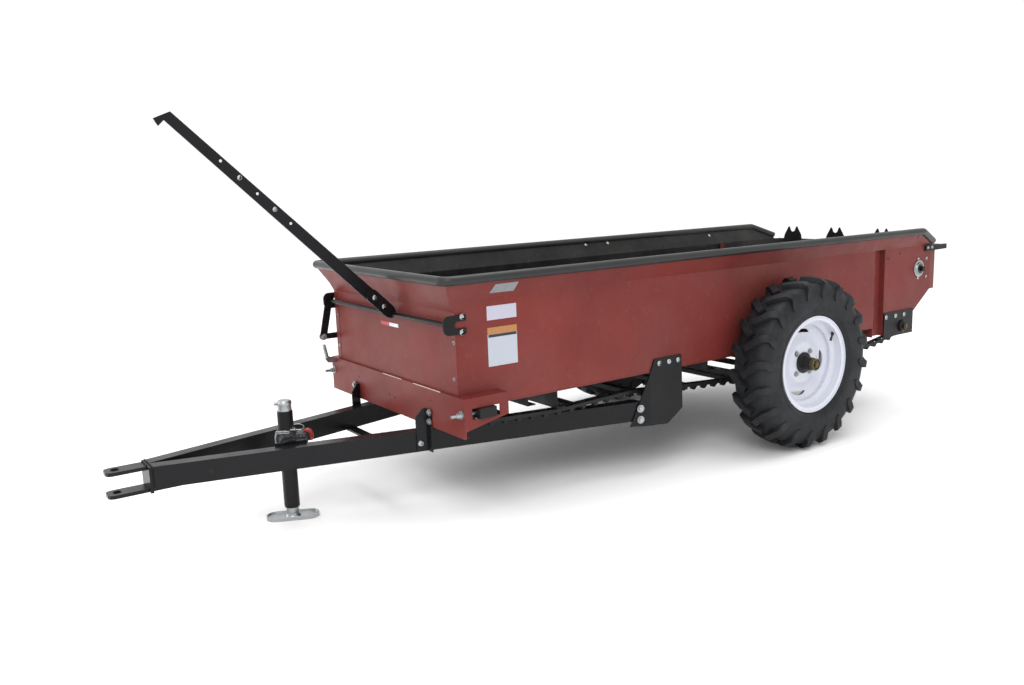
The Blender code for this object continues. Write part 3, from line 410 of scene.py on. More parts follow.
def board():
    return stained("stained_floor_board")


def shadow():
    return plastic("deep_shadow", (0.006, 0.003, 0.003), 0.8)


# ---------------------------------------------------------------- mesh helpers


def placed(name, data):
    """A new object in the scene."""
    made = bpy.data.objects.new(name, data)
    bpy.context.scene.collection.objects.link(made)
    return made


def mesh_of(name, bm):
    mesh = bpy.data.meshes.new(name)
    bm.to_mesh(mesh)
    bm.free()
    return mesh


def smooth_over(mesh):
    """Smooth shading that keeps the sharp edges sharp."""
    mesh.shade_smooth()
    mesh.set_sharp_from_angle(angle=math.radians(38))


def piece(name, bm, material, body, slot, replaces=(), smooth=True, bevel=0.0):
    """A finished object from a bmesh, riding on a body."""
    bmesh.ops.remove_doubles(bm, verts=bm.verts, dist=1e-6)
    bmesh.ops.recalc_face_normals(bm, faces=bm.faces)
    mesh = mesh_of(name, bm)
    if smooth:
        smooth_over(mesh)
    mesh.materials.append(material)
    made = placed(name, mesh)
    if bevel:
        edge = made.modifiers.new("edges", "BEVEL")
        edge.width = bevel
        edge.segments = 2
        edge.limit_method = "ANGLE"
        edge.angle_limit = math.radians(40)
        edge.harden_normals = False
    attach(made, body)
    if replaces:
        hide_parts(*replaces)
    return made


def fitting(name, bm, material, slot, replaces=(), **settings):
    """A piece that is fixed to the chassis."""
    return piece(name, bm, material, "chassis", slot, replaces, **settings)


def aim(axis):
    """The turn that brings +Z onto an axis."""
    return Vector(axis).normalized().to_track_quat("Z", "Y").to_matrix().to_4x4()


def rod(bm, start, end, radius, segments=20, end_radius=None):
    start, end = Vector(start), Vector(end)
    along = end - start
    place = Matrix.Translation((start + end) / 2) @ aim(along)
    bmesh.ops.create_cone(bm, cap_ends=True, segments=segments, radius1=radius,
                          radius2=radius if end_radius is None else end_radius, depth=along.length, matrix=place)


def block(bm, low, high, turn=None):
    low, high = Vector(low), Vector(high)
    place = Matrix.LocRotScale((low + high) / 2, None, high - low)
    bmesh.ops.create_cube(bm, size=1, matrix=turn @ place if turn else place)


def slab(bm, x, y, z):
    """An upright block between two values on each axis, with y from the axle."""
    block(bm, at(min(x), y[0], z[0]), at(max(x), y[1], z[1]))


def set_on(bm, centre, side):
    """Moves what is built about the origin onto a centre, turned over for the right-hand side."""
    turned = Matrix.Translation(centre) @ Matrix.Diagonal((side, 1, 1, 1))
    bmesh.ops.transform(bm, matrix=turned, verts=bm.verts)


def spin_profile(bm, corners, centre, axis, steps):
    edges = [bm.edges.new(pair) for pair in zip(corners, corners[1:] + corners[:1])]
    bmesh.ops.spin(bm, geom=corners + edges, cent=centre, axis=axis, angle=2 * math.pi, steps=steps,
                   use_merge=True)
    bmesh.ops.remove_doubles(bm, verts=bm.verts, dist=1e-6)
    bmesh.ops.dissolve_degenerate(bm, edges=bm.edges, dist=1e-7)


def spun(bm, profile, steps, centre=(0, 0, 0), side=1):
    """A closed profile of (x, radius) points spun about an axis along X through the centre."""
    centre = Vector(centre)
    corners = [bm.verts.new(centre + Vector((side * x, 0, r))) for x, r in profile]
    spin_profile(bm, corners, centre, (1, 0, 0), steps)


def upright(bm, profile, steps=48):
    """A closed profile of (radius, z) points spun about Z."""
    spin_profile(bm, [bm.verts.new((r, 0, z)) for r, z in profile], (0, 0, 0), (0, 0, 1), steps)


def outline(bm, points, direction):
    """A closed outline of 3D points extruded by a vector."""
    face = bm.faces.new([bm.verts.new(point) for point in points])
    grown = bmesh.ops.extrude_face_region(bm, geom=[face])
    moved = [item for item in grown["geom"] if isinstance(item, bmesh.types.BMVert)]
    bmesh.ops.translate(bm, vec=Vector(direction), verts=moved)


def ring_at(bm, place, radius, segments):
    return bmesh.ops.create_circle(bm, segments=segments, radius=radius, matrix=place)["verts"]


def torus(bm, centre, axis, radius, thick, around=24, through=10):
    """A ring of round wire."""
    on_ring = Matrix.Translation((radius, 0, 0)) @ Matrix.Rotation(math.pi / 2, 4, "X")
    verts = ring_at(bm, Matrix.Translation(centre) @ aim(axis) @ on_ring, thick, through)
    edges = list({edge for vert in verts for edge in vert.link_edges})
    bmesh.ops.spin(bm, geom=verts + edges, cent=centre, axis=Vector(axis), angle=2 * math.pi,
                   steps=around, use_merge=True)


def close_rings(bm, rings):
    """Skins a row of rings and closes its two ends."""
    def around(ring):
        edges = {edge for vert in ring for edge in vert.link_edges}
        return [edge for edge in edges if edge.verts[0] in ring and edge.verts[1] in ring]

    for first, second in zip(rings, rings[1:]):
        bmesh.ops.bridge_loops(bm, edges=around(first) + around(second))
    for ring in (rings[0], rings[-1]):
        bmesh.ops.edgeloop_fill(bm, edges=around(ring))


def hex_bolt(bm, place, axis, radius=None, washer=True, stub=0.0):
    """A hexagon head on a washer, standing out along the axis. A stub is the threaded end beyond a nut."""
    radius = radius or sizes_of().bolt
    base, axis = Vector(place), Vector(axis).normalized()
    if washer:
        rod(bm, base - axis * 0.001, base + axis * 0.0022, radius * 1.45, 20)
        base = base + axis * 0.0022
    height = radius * 0.72
    rod(bm, base - axis * 0.0004, base + axis * height * 0.8, radius, 6)
    rod(bm, base + axis * height * 0.8, base + axis * height, radius, 6, radius * 0.86)
    if stub:
        rod(bm, base, base + axis * (height + stub), radius * 0.52, 14)


def dome_bolt(bm, place, axis, radius=None):
    """A round carriage-bolt head."""
    radius = radius or sizes_of().bolt
    place, axis = Vector(place), Vector(axis).normalized()
    heights = ((-0.05, 1.0), (0.18, 0.99), (0.36, 0.86), (0.48, 0.62), (0.54, 0.30))
    for (low, wide), (high, narrow) in zip(heights, heights[1:]):
        rod(bm, place + axis * low * radius, place + axis * high * radius, wide * radius, 20, narrow * radius)
    rod(bm, place + axis * 0.54 * radius, place + axis * 0.56 * radius, 0.30 * radius, 20, 0.05 * radius)


def paint_node(name, material):
    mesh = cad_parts[name].data
    mesh.materials.clear()
    mesh.materials.append(material)


def lerp(a, b, t):
    return a + (b - a) * t


def span_of(points):
    """The length of a line of points."""
    return sum((Vector(b) - Vector(a)).length for a, b in zip(points, points[1:]))


def circle(start, stop, step):
    """Cosine and sine of angles in degrees, from start up to or down to stop."""
    angles = [math.radians(angle) for angle in range(start, stop, step)]
    return [(math.cos(angle), math.sin(angle)) for angle in angles]


def along(points, distance):
    """A point and direction on a line of points, a distance from its start."""
    for start, end in zip(points, points[1:]):
        length = (end - start).length
        if distance <= length:
            return start + (end - start) * (distance / length), (end - start).normalized()
        distance -= length
    return points[-1], (points[-1] - points[-2]).normalized()


# ---------------------------------------------------------------- pieces

CARCASS = ((0.069, 0.2085), (0.0775, 0.2150), (0.0835, 0.2300), (0.0862, 0.2550), (0.0866, 0.2850),
           (0.0845, 0.3100), (0.0780, 0.3300), (0.0660, 0.3425), (0.0400, 0.3480), (0.0, 0.3495))


def on_carcass(s):
    """The carcass at s, from 0 at mid-tread to 1 at the bead: x, radius and the outward normal."""
    points = [Vector(point) for point in reversed(CARCASS)]
    place, direction = along(points, s * span_of(points))
    normal = Vector((-direction.y, direction.x))
    if normal.dot(place - Vector((0, 0.25))) < 0:
        normal = -normal
    return place, normal


BAR_PATH = ((-0.006, 0.008), (0.020, -0.010), (0.046, -0.031), (0.062, -0.043), (0.071, -0.046), (0.080, -0.0455),
            (0.092, -0.041), (0.104, -0.034), (0.116, -0.026), (0.127, -0.018))


def tread_bar(side, height):
    """One tread bar: out from mid-tread, a knee on the shoulder, and a tail down the sidewall."""
    path = [Vector(point) for point in BAR_PATH]
    length, whole = span_of(path), span_of(CARCASS)
    bar = bmesh.new()
    bmesh.ops.create_cube(bar, size=1)
    edges = [edge for edge in bar.edges if abs((edge.verts[0].co - edge.verts[1].co).x) > 0.5]
    bmesh.ops.subdivide_edges(bar, edges=edges, cuts=17)
    for vert in bar.verts:
        u = vert.co.x + 0.5
        w = vert.co.z + 0.5
        spot, direction = along(path, u * length)
        later = along(path, min(0.999, u + 0.04) * length)[1]
        direction = (direction + later).normalized()
        tip = 1 - max(0, (u - 0.84) / 0.16) ** 2 * 0.55
        wide = 0.033 * tip * (1 - 0.18 * w)
        spot = spot + Vector((-direction.y, direction.x)) * vert.co.y * wide
        place, normal = on_carcass(abs(spot.x) / whole)
        x = place.x if spot.x >= 0 else -place.x
        lift = lerp(-0.005, height * (1 - 0.50 * max(0, (u - 0.72) / 0.28) ** 1.6), w)
        radius = min(place.y + normal.y * lift, TYRE_R - 0.0004)
        x = min(x + normal.x * lift * (1 if spot.x >= 0 else -1), 0.0905)
        angle = spot.y / place.y
        vert.co = (side * x, radius * math.cos(angle), radius * math.sin(angle))
    return mesh_of("tread_bar", bar)


def ring_of(bm, mesh, count, first=0.0):
    """Copies of a mesh set evenly round the X axis."""
    for number in range(count):
        before = len(bm.verts)
        bm.from_mesh(mesh)
        bm.verts.ensure_lookup_table()
        turn = Matrix.Rotation((number + first) * 2 * math.pi / count, 4, "X")
        bmesh.ops.transform(bm, matrix=turn, verts=bm.verts[before:])
    bpy.data.meshes.remove(mesh)


class SPREADER_OT_tyres(bpy.types.Operator):
    """Build the two farm tyres with their angled tread bars"""

    bl_idname = "spreader.tyres"
    bl_label = "Tyres"
    bl_options = {"UNDO"}

    def execute(self, context):
        sizes = sizes_of()
        inner = ((0.0, 0.330), (-0.066, 0.322), (-0.072, 0.250), (-0.060, 0.212))
        for side, name in SIDES:
            bm = bmesh.new()
            profile = [(-x, r) for x, r in CARCASS] + list(reversed(CARCASS[:-1]))
            profile += [(-x, r) for x, r in reversed(inner)] + list(inner[1:])
            spun(bm, profile, 96)
            for radius, x, thick in ((0.226, 0.0815, 0.0016), (0.2335, 0.0838, 0.0012), (0.304, 0.0846, 0.0012)):
                for way in (1, -1):
                    torus(bm, (way * x, 0, 0), (1, 0, 0), radius, thick, 96, 8)
            ring_of(bm, tread_bar(1, sizes.lug_height), sizes.lugs)
            ring_of(bm, tread_bar(-1, sizes.lug_height), sizes.lugs, 0.5)
            bmesh.ops.translate(bm, vec=(side * TYRE_X, AXLE_Y, TYRE_R), verts=bm.verts)
            piece("tyre_tread_" + name, bm, rubber(), "wheel_" + name, "tyre_rubber", ("tyre_" + name,))
        return {"FINISHED"}


class SPREADER_OT_wheels(bpy.types.Operator):
    """Build the white wheel rims with their discs, hand slots, valve, hubs and nuts"""

    bl_idname = "spreader.wheels"
    bl_label = "Wheels"
    bl_options = {"UNDO"}

    def rim(self, bm):
        half = [(0.075, 0.207), (0.072, 0.208), (0.069, 0.206), (0.067, 0.200), (0.066, 0.1905), (0.040, 0.1900),
                (0.034, 0.188), (0.029, 0.172), (0.024, 0.168)]
        inside = [(0.0742, 0.2035), (0.0712, 0.2045), (0.0700, 0.199), (0.0688, 0.1875), (0.041, 0.1870),
                  (0.0365, 0.185), (0.0315, 0.1695), (0.0260, 0.165)]
        outside = [(-x, r) for x, r in half] + half[::-1]
        spun(bm, outside + inside + [(-x, r) for x, r in reversed(inside)], 96)

    def disc(self, bm):
        wall = 0.003
        disc = [(0.012, 0.1652), (0.012, 0.156), (0.006, 0.150), (-0.002, 0.142), (-0.006, 0.128), (-0.004, 0.112),
                (0.003, 0.097), (0.0095, 0.089), (0.012, 0.084), (0.012, 0.030)]
        spun(bm, disc + [(x - wall, r) for x, r in reversed(disc)], 96)

    def barrel(self, bm):
        profile = [(-0.055, 0.0196), (-0.055, 0.030), (-0.052, 0.031), (0.0125, 0.031), (0.0125, 0.043),
                   (0.015, 0.0455), (0.019, 0.0455), (0.021, 0.043), (0.022, 0.0305), (0.025, 0.0285),
                   (0.0620, 0.0275), (0.0620, 0.0196)]
        spun(bm, profile, 64)
        rod(bm, (0.056, 0, 0), (0.0632, 0, 0), 0.0272, 48)

    def nut(self, bm):
        """The ring at the hub's outer end, with the axle nut and its cotter pin inside it."""
        ring = [(0.0622, 0.0245), (0.0640, 0.0262), (0.0800, 0.0262), (0.0820, 0.0242), (0.0820, 0.0205),
                (0.0760, 0.0190), (0.0760, 0.0), (0.0622, 0.0)]
        spun(bm, ring, 48)
        rod(bm, (0.0760, 0, 0), (0.0830, 0, 0), 0.0155, 6)
        rod(bm, (0.0820, 0, 0), (0.0850, 0, 0), 0.0085, 20)
        rod(bm, (0.0838, -0.0125, 0), (0.0838, 0.0125, 0), 0.0016, 8)

    def bolts(self, bm):
        for y, z in circle(45, 405, 90):
            hex_bolt(bm, (0.0118, 0.0625 * y, 0.0625 * z), (1, 0, 0), 0.0092, stub=0.004)

    def valve(self, bm):
        out = Vector((0, *circle(38, 39, 1)[0]))
        start = Vector((0.050, 0, 0)) + out * 0.187
        for near, far, base, tip, radius, segments, end_radius in (
                (0.0, 0.012, 0.0, 0.004, 0.0075, 16, 0.006),
                (0.011, 0.034, 0.004, 0.012, 0.0042, 14, None),
                (0.032, 0.042, 0.011, 0.015, 0.0052, 14, None)):
            rod(bm, start - out * near + Vector((base, 0, 0)), start - out * far + Vector((tip, 0, 0)),
                radius, segments, end_radius)

    def execute(self, context):
        white, valve = white_paint(), plastic("valve_rubber", (0.012, 0.012, 0.012), 0.5)
        for side, name in SIDES:
            centre = Vector((side * TYRE_X, AXLE_Y, TYRE_R))
            for build, label, material, slot, replaces in (
                    (self.rim, "rim_", white, "white_paint", ("wheel_rim_" + name,)),
                    (self.disc, "disc_", white, "white_paint", ()),
                    (self.barrel, "hub_barrel_", dark_steel(), "dark_steel", ("hub_" + name,)),
                    (self.nut, "hub_nut_", yellow_zinc(), "zinc", ()),
                    (self.bolts, "wheel_bolts_", zinc(), "zinc", ()),
                    (self.valve, "tyre_valve_", valve, "tyre_rubber", ())):
                bm = bmesh.new()
                build(bm)
                set_on(bm, centre, side)
                made = piece(label + name, bm, material, "wheel_" + name, slot, replaces)
                if build == self.disc:
                    self.slots(made, centre)
        return {"FINISHED"}

    def slots(self, disc, centre):
        """Four hand slots round the edge of the disc."""
        bm = bmesh.new()
        swings = [-19 + 3.8 * step for step in range(11)]
        for number in range(4):
            points = []
            for way, row in ((1, swings), (-1, swings[::-1])):
                for swing in row:
                    reach = 0.137 + way * 0.0085 * math.sqrt(max(0.06, 1 - (swing / 19) ** 2))
                    angle = math.radians(86 + 90 * number + swing)
                    points.append(centre + Vector((-0.05, reach * math.cos(angle), reach * math.sin(angle))))
            outline(bm, points, (0.1, 0, 0))
        bmesh.ops.recalc_face_normals(bm, faces=bm.faces)
        cutter = placed("slot_cutter", mesh_of("slot_cutter", bm))
        cut = disc.modifiers.new("hand_slots", "BOOLEAN")
        cut.operation = "DIFFERENCE"
        cut.solver = "EXACT"
        cut.object = cutter
        apply_modifiers(disc)
        bpy.data.objects.remove(cutter)


def apply_modifiers(made):
    graph = bpy.context.evaluated_depsgraph_get()
    mesh = bpy.data.meshes.new_from_object(made.evaluated_get(graph))
    made.modifiers.clear()
    made.data = mesh
    smooth_over(mesh)


class SPREADER_OT_panels(bpy.types.Operator):
    """Finish the folded panels, floor and members, and add their seams, slots and hems, with painted shade in the
    slots and holes and a painted highlight along one seam
    """

    bl_idname = "spreader.panels"
    bl_label = "Panels"
    bl_options = {"UNDO"}

    def execute(self, context):
        for name in ("side_panel_left", "side_panel_right", "rear_side_panel_left", "rear_side_panel_right"):
            paint_node(name, red_outside("side"))
        paint_node("front_panel", red_outside("front"))
        paint_node("lower_front_plate", red_paint())
        paint_node("crossmember_rear", red_paint())
        paint_node("floor", board())
        for name in ("crossmember_front", "crossmember_second", "crossmember_middle", "axle", "drive_guard",
                     "shaft_bearing_plate_left", "shaft_bearing_plate_right",
                     "rod_bracket_left", "rod_bracket_right",
                     "drawbar_beam_left", "drawbar_beam_right", "drawbar_brace", "drawbar_strap_left",
                     "drawbar_strap_right", "drawbar_side_plate_left", "drawbar_side_plate_right",
                     "hitch_clevis",
                     "clutch_link", "clutch_arm", "control_rod", "tail_bar"):
            paint_node(name, black_paint())
        for name in ("apron_front_shaft", "apron_rear_shaft"):
            paint_node(name, dark_steel())
        paint_node("crank_stop", zinc())
        self.seams()
        return {"FINISHED"}

    def seam(self, z):
        """A point just inside the corner where the side flare and the front flare meet."""
        rise = max(0.0, (z - FOLD_Z) / (RAIL_Z - FOLD_Z))
        lean = (z - 0.755) / (RAIL_Z - 0.755)
        x = PANEL_X - 0.0030 + rise * (RAIL_X - PANEL_X)
        return at(x, FRONT_Y + 0.0030 + lean * (-1.707 - FRONT_Y), z)

    def seams(self):
        bm = bmesh.new()
        # Painted shade: dark slivers in the slots of the post webs, and dark discs in the holes of the side panels
        # and the lower front plate.
        for side in (1, -1):
            for z in (0.745, 0.640, 0.535, 0.430):
                slab(bm, (side * 0.4652, side * 0.4662), (0.733, 0.741), (z - 0.020, z + 0.020))
            for y, z in ((0.802, 0.748), (0.900, 0.765)):
                rod(bm, at(side * 0.4905, y, z), at(side * 0.4916, y, z), 0.0050, 14)
        for x, z in ((-0.276, 0.419), (-0.007, 0.391), (0.310, 0.423), (0.036, 0.386)):
            rod(bm, (x, PLATE_Y - 0.0006, z), (x, PLATE_Y + 0.001, z), 0.0035, 12)
        fitting("drain_slot_shade", bm, shadow(), "black_paint", smooth=False)
        bm = bmesh.new()
        # Painted highlight: pale strips along the top seam of the lower front plate, where its edge catches the
        # light.
        for start, end in ((-0.058, 0.096), (0.186, 0.384)):
            low = (start, PLATE_Y - 0.0005, SEAM_TOP - 0.0022)
            block(bm, low, (end, PLATE_Y + 0.0022, SEAM_TOP + 0.0006))
        fitting("seam_glints", bm, plastic("sealed_seam", (0.55, 0.40, 0.36), 0.5), "red_paint", smooth=False)
        bm = bmesh.new()
        meet = [self.seam(z) for z in (0.7560, FOLD_Z, 0.8525)]
        for side in (1, -1):
            hem = (side * (PANEL_X - 0.0004), side * (PANEL_X + 0.0016))
            slab(bm, hem, (-1.640, 0.698), (0.4186, 0.4226))
            slab(bm, (side * 0.4560, side * 0.4906), (-1.6474, -1.6461), (0.4730, 0.7540))
            for start, end in zip(meet, meet[1:]):
                rod(bm, (side * start.x, start.y, start.z), (side * end.x, end.y, end.z), 0.0034, 12)
        fitting("panel_hems", bm, red_paint(), "red_paint")


class SPREADER_OT_rails(bpy.types.Operator):
    """Build the rolled charcoal rail round the top of the box, with its joints, and painted shade in its open rear
    ends
    """

    bl_idname = "spreader.rails"
    bl_label = "Rails"
    bl_options = {"UNDO"}

    def tube(self, bm, points, radius, segments=24):
        """Lengths of round tube that meet at mitred bends."""
        rings = []
        for i, point in enumerate(points):
            before = (point - points[i - 1]).normalized() if i else None
            after = (points[i + 1] - point).normalized() if i + 1 < len(points) else None
            direction = (before + after).normalized() if before and after else (before or after)
            stretch = 1 / max(0.5, direction.dot(before or after))
            ring = ring_at(bm, Matrix.Translation(point) @ aim(direction), radius, segments)
            if before and after and stretch > 1.001:
                fold = (after - before).normalized()
                for vert in ring:
                    offset = vert.co - point
                    vert.co += fold * offset.dot(fold) * (stretch - 1)
            rings.append(ring)
        close_rings(bm, rings)

    def execute(self, context):
        bend = 0.034
        half = [at(0.5005, 1.162, 0.8115), at(0.5350, 1.026, 0.8632), at(0.5378, 1.016, 0.8662),
                at(0.5388, 1.006, 0.8676), at(RAIL_X, 0.994, RAIL_Z)]
        corner = Vector((RAIL_X - bend, RAIL_FRONT + bend, RAIL_Z))
        for step in range(9):
            angle = math.radians(90 * step / 8)
            half.append(corner + Vector((math.cos(angle), -math.sin(angle), 0)) * bend)
        points = half + [Vector((-p.x, p.y, p.z)) for p in reversed(half)]
        bm = bmesh.new()
        self.tube(bm, points, RAIL_R - 0.0003)
        fitting("box_rail", bm, rail_finish(), "dark_steel",
                ("rim_rail_front", "rim_rail_left", "rim_rail_right"))
        self.rear_ends()
        return {"FINISHED"}

    def rear_ends(self):
        """Dark discs of painted shade in the rail's open rear ends, and the edge strips that run along under the
        rail.
        """
        bm = bmesh.new()
        for side in (1, -1):
            end, before = at(side * 0.5005, 1.162, 0.8115), at(side * 0.5350, 1.026, 0.8632)
            direction = (end - before).normalized()
            rod(bm, end - direction * 0.002, end + direction * 0.0012, RAIL_R * 0.86, 24)
        strips = bmesh.new()
        edge = ((1.000, 0.8580), (1.018, 0.8580), (1.158, 0.8090), (1.150, 0.7960), (1.000, 0.8300))
        for side in (1, -1):
            normal = flare_normal(side)
            outline(strips, [on_flare(side, y, z) + normal * 0.0004 for y, z in edge], normal * 0.0010)
        fitting("rear_edge_strips", strips, red_paint(), "red_paint", smooth=False)
        fitting("rail_end_shade_discs", bm, shadow(), "black_paint")


def chain_path():
    """The middle line of the chain: over the top, round the rear shaft, back below and round the front."""
    radius = 0.0545
    front, rear = at(0, FRONT_SHAFT, SHAFT_Z), at(0, REAR_SHAFT, SHAFT_Z)
    sag = ((0.770, 0.3265), (0.370, 0.3035), (-0.030, 0.2892), (-0.430, 0.3130), (-0.840, 0.3430),
           (-1.200, 0.3315))
    points = [rear + Vector((0, y, z)) * radius for y, z in circle(90, -91, -15)]
    points += [at(0, y, z) for y, z in sag]
    points += [front + Vector((0, y, z)) * radius for y, z in circle(-90, -271, -15)]
    points.append(points[0].copy())
    return points


class SPREADER_OT_apron(bpy.types.Operator):
    """Build the apron's steel chains link by link, and the slats between them"""

    bl_idname = "spreader.apron"
    bl_label = "Apron"
    bl_options = {"UNDO"}

    def link(self, bm, place):
        """One open link: two side bars, a barrel, and a hooked tooth on its outer face."""
        for x in (-0.0165, 0.0165):
            block(bm, (x - 0.0028, -0.031, -0.0062), (x + 0.0028, 0.031, 0.0062), place)
        rod(bm, place @ Vector((-0.0195, -0.026, 0)), place @ Vector((0.0195, -0.026, 0)), 0.0066, 10)
        block(bm, (-0.0170, 0.012, -0.0045), (0.0170, 0.030, 0.0045), place)
        sides = ((-0.014, 0.004), (0.016, 0.004), (0.012, 0.0215), (0.004, 0.0215))
        tooth = [place @ Vector((-0.011, y, z)) for y, z in sides]
        outline(bm, tooth, place.to_3x3() @ Vector((0.022, 0, 0)))

    def execute(self, context):
        path = chain_path()
        total = span_of(path)
        count = round(total / sizes_of().chain_pitch)
        bm = bmesh.new()
        for side in (1, -1):
            for number in range(count):
                place, direction = along(path, total * number / count)
                normal = Vector((0, -direction.z, direction.y))
                level = abs(direction.y) > 0.8
                if normal.dot(place - at(0, -0.3, 0.38)) < 0 or level:
                    below = Vector((0, 0, -1)) if level else -normal
                    normal = Vector((0, 0, 1)) if place.z > 0.43 else below
                right = direction.cross(normal).normalized()
                up = right.cross(direction).normalized()
                turn = Matrix((right, direction, up)).transposed().to_4x4()
                self.link(bm, Matrix.Translation(place + Vector((side * CHAIN_X, 0, 0))) @ turn)
        fitting("apron_chains", bm, dark_steel(), "dark_steel", ("apron_chain",), smooth=False)
        self.slats(path)
        self.wheels()
        return {"FINISHED"}

    def slats(self, path):
        bm = bmesh.new()
        step = sizes_of().slat_step
        wide = (-0.4385, 0.4385)
        y = -1.468
        while y < 0.84:
            low = 0.4620
            slab(bm, wide, (y, y + 0.005), (low, 0.4795))
            slab(bm, wide, (y, y + 0.031), (low, low + 0.0045))
            y += step
        y = -1.408
        while y < 0.82:
            if not -0.104 < y < 0.010:
                place = self.height(path, at(0, y + 0.016, 0).y)
                slab(bm, wide, (y, y + 0.005), (place - 0.0180, place + 0.002))
                slab(bm, wide, (y, y + 0.031), (place - 0.0035, place + 0.002))
            y += step
        fitting("apron_slats", bm, dark_steel(), "dark_steel", smooth=False, bevel=0.0008)

    def height(self, path, y):
        for a, b in zip(path, path[1:]):
            if a.z < 0.40 and b.z < 0.40 and min(a.y, b.y) <= y <= max(a.y, b.y):
                return lerp(a.z, b.z, (y - a.y) / (b.y - a.y))
        return 0.350

    def wheels(self):
        """Teeth round the chain wheels on both shafts."""
        bm = bmesh.new()
        for y in (FRONT_SHAFT, REAR_SHAFT):
            for side in (1, -1):
                base = at(side * CHAIN_X, y, SHAFT_Z)
                for number in range(6):
                    angle = number * math.pi / 3 + 0.3
                    out = Vector((0, math.cos(angle), math.sin(angle)))
                    rod(bm, base + out * 0.030, base + out * 0.0475, 0.0085, 10, 0.005)
                rod(bm, at(side * 0.412, y, SHAFT_Z), at(side * 0.448, y, SHAFT_Z), 0.022, 20)
        fitting("chain_wheel_teeth", bm, dark_steel(), "dark_steel")


class SPREADER_OT_beater(bpy.types.Operator):
    """Build the beater with its toothed paddles, and the flanged bearings at its ends"""

    bl_idname = "spreader.beater"
    bl_label = "Beater"
    bl_options = {"UNDO"}

    def execute(self, context):
        centre = at(0, BEATER_Y, BEATER_Z)
        bm = bmesh.new()
        drum = [(-0.4755, 0.0), (-0.4755, 0.0285), (-0.473, 0.0300)]
        spun(bm, drum + [(-x, r) for x, r in reversed(drum)], 40, centre)
        rod(bm, centre - Vector((0.5205, 0, 0)), centre + Vector((0.5205, 0, 0)), 0.0124, 28)
        half = [(0.050, 0.024), (0.050, 0.132), (0.046, 0.150), (0.024, 0.1945), (0.018, 0.1930),
                (0.010, 0.170)]
        tips = half + [(0, 0.1640)] + [(-x, r) for x, r in reversed(half)]
        rivets = bmesh.new()
        for number in range(7):
            x = (number - 3) * 0.140
            for turn in (0, 180):
                angle = math.radians(turn + 90 * (number % 2) + 90)
                skew = Matrix.Rotation(math.radians(20), 4, "Z")
                place = Matrix.Translation(centre + Vector((x, 0, 0))) @ Matrix.Rotation(angle, 4, "X") @ skew
                facing = place.to_3x3()
                outline(bm, [place @ Vector((a, -0.003, r)) for a, r in tips], facing @ Vector((0, 0.006, 0)))
                block(bm, (-0.040, 0.0025, 0.026), (0.040, 0.012, 0.034), place)
                for a in (-0.026, 0.026):
                    for way in (1, -1):
                        spot = place @ Vector((a, way * 0.003, 0.060))
                        hex_bolt(rivets, spot, facing @ Vector((0, way, 0)), 0.0075)
        piece("beater_paddles", bm, black_paint(), "beater_rotor", "black_paint", ("beater",), bevel=0.0007)
        piece("beater_bolts", rivets, zinc(), "beater_rotor", "zinc")
        for side, name in SIDES:
            self.bearing(side, name, centre)
        return {"FINISHED"}

    def bearing(self, side, name, centre):
        face = PANEL_X + 0.0003
        bm = bmesh.new()
        spun(bm, [(face, 0.0135), (face, 0.0415), (face + 0.0035, 0.0415), (face + 0.0050, 0.0330),
                  (face + 0.0115, 0.0300), (face + 0.0125, 0.0270), (face + 0.0090, 0.0245),
                  (face + 0.0090, 0.0135)], 48)
        set_on(bm, centre, side)
        fitting("beater_flange_" + name, bm, zinc(), "zinc", ("beater_bearing_" + name,))
        bm = bmesh.new()
        seal = ((0.0070, 0.0135), (0.0070, 0.0240), (0.0130, 0.0215), (0.0138, 0.0135))
        spun(bm, [(face + x, r) for x, r in seal], 40)
        set_on(bm, centre, side)
        fitting("beater_seal_" + name, bm, plastic("bearing_seal", (0.012, 0.012, 0.013), 0.4), "black_paint")
        bm = bmesh.new()
        for y, z in ((1.060, 0.7265), (1.060, 0.6300), (1.131, 0.724), (1.134, 0.632)):
            if side < 0 and y < 1.1:
                continue
            dome_bolt(bm, at(side * PANEL_X, y, z), (side, 0, 0), 0.0088)
        fitting("beater_flange_bolts_" + name, bm, zinc(), "zinc")


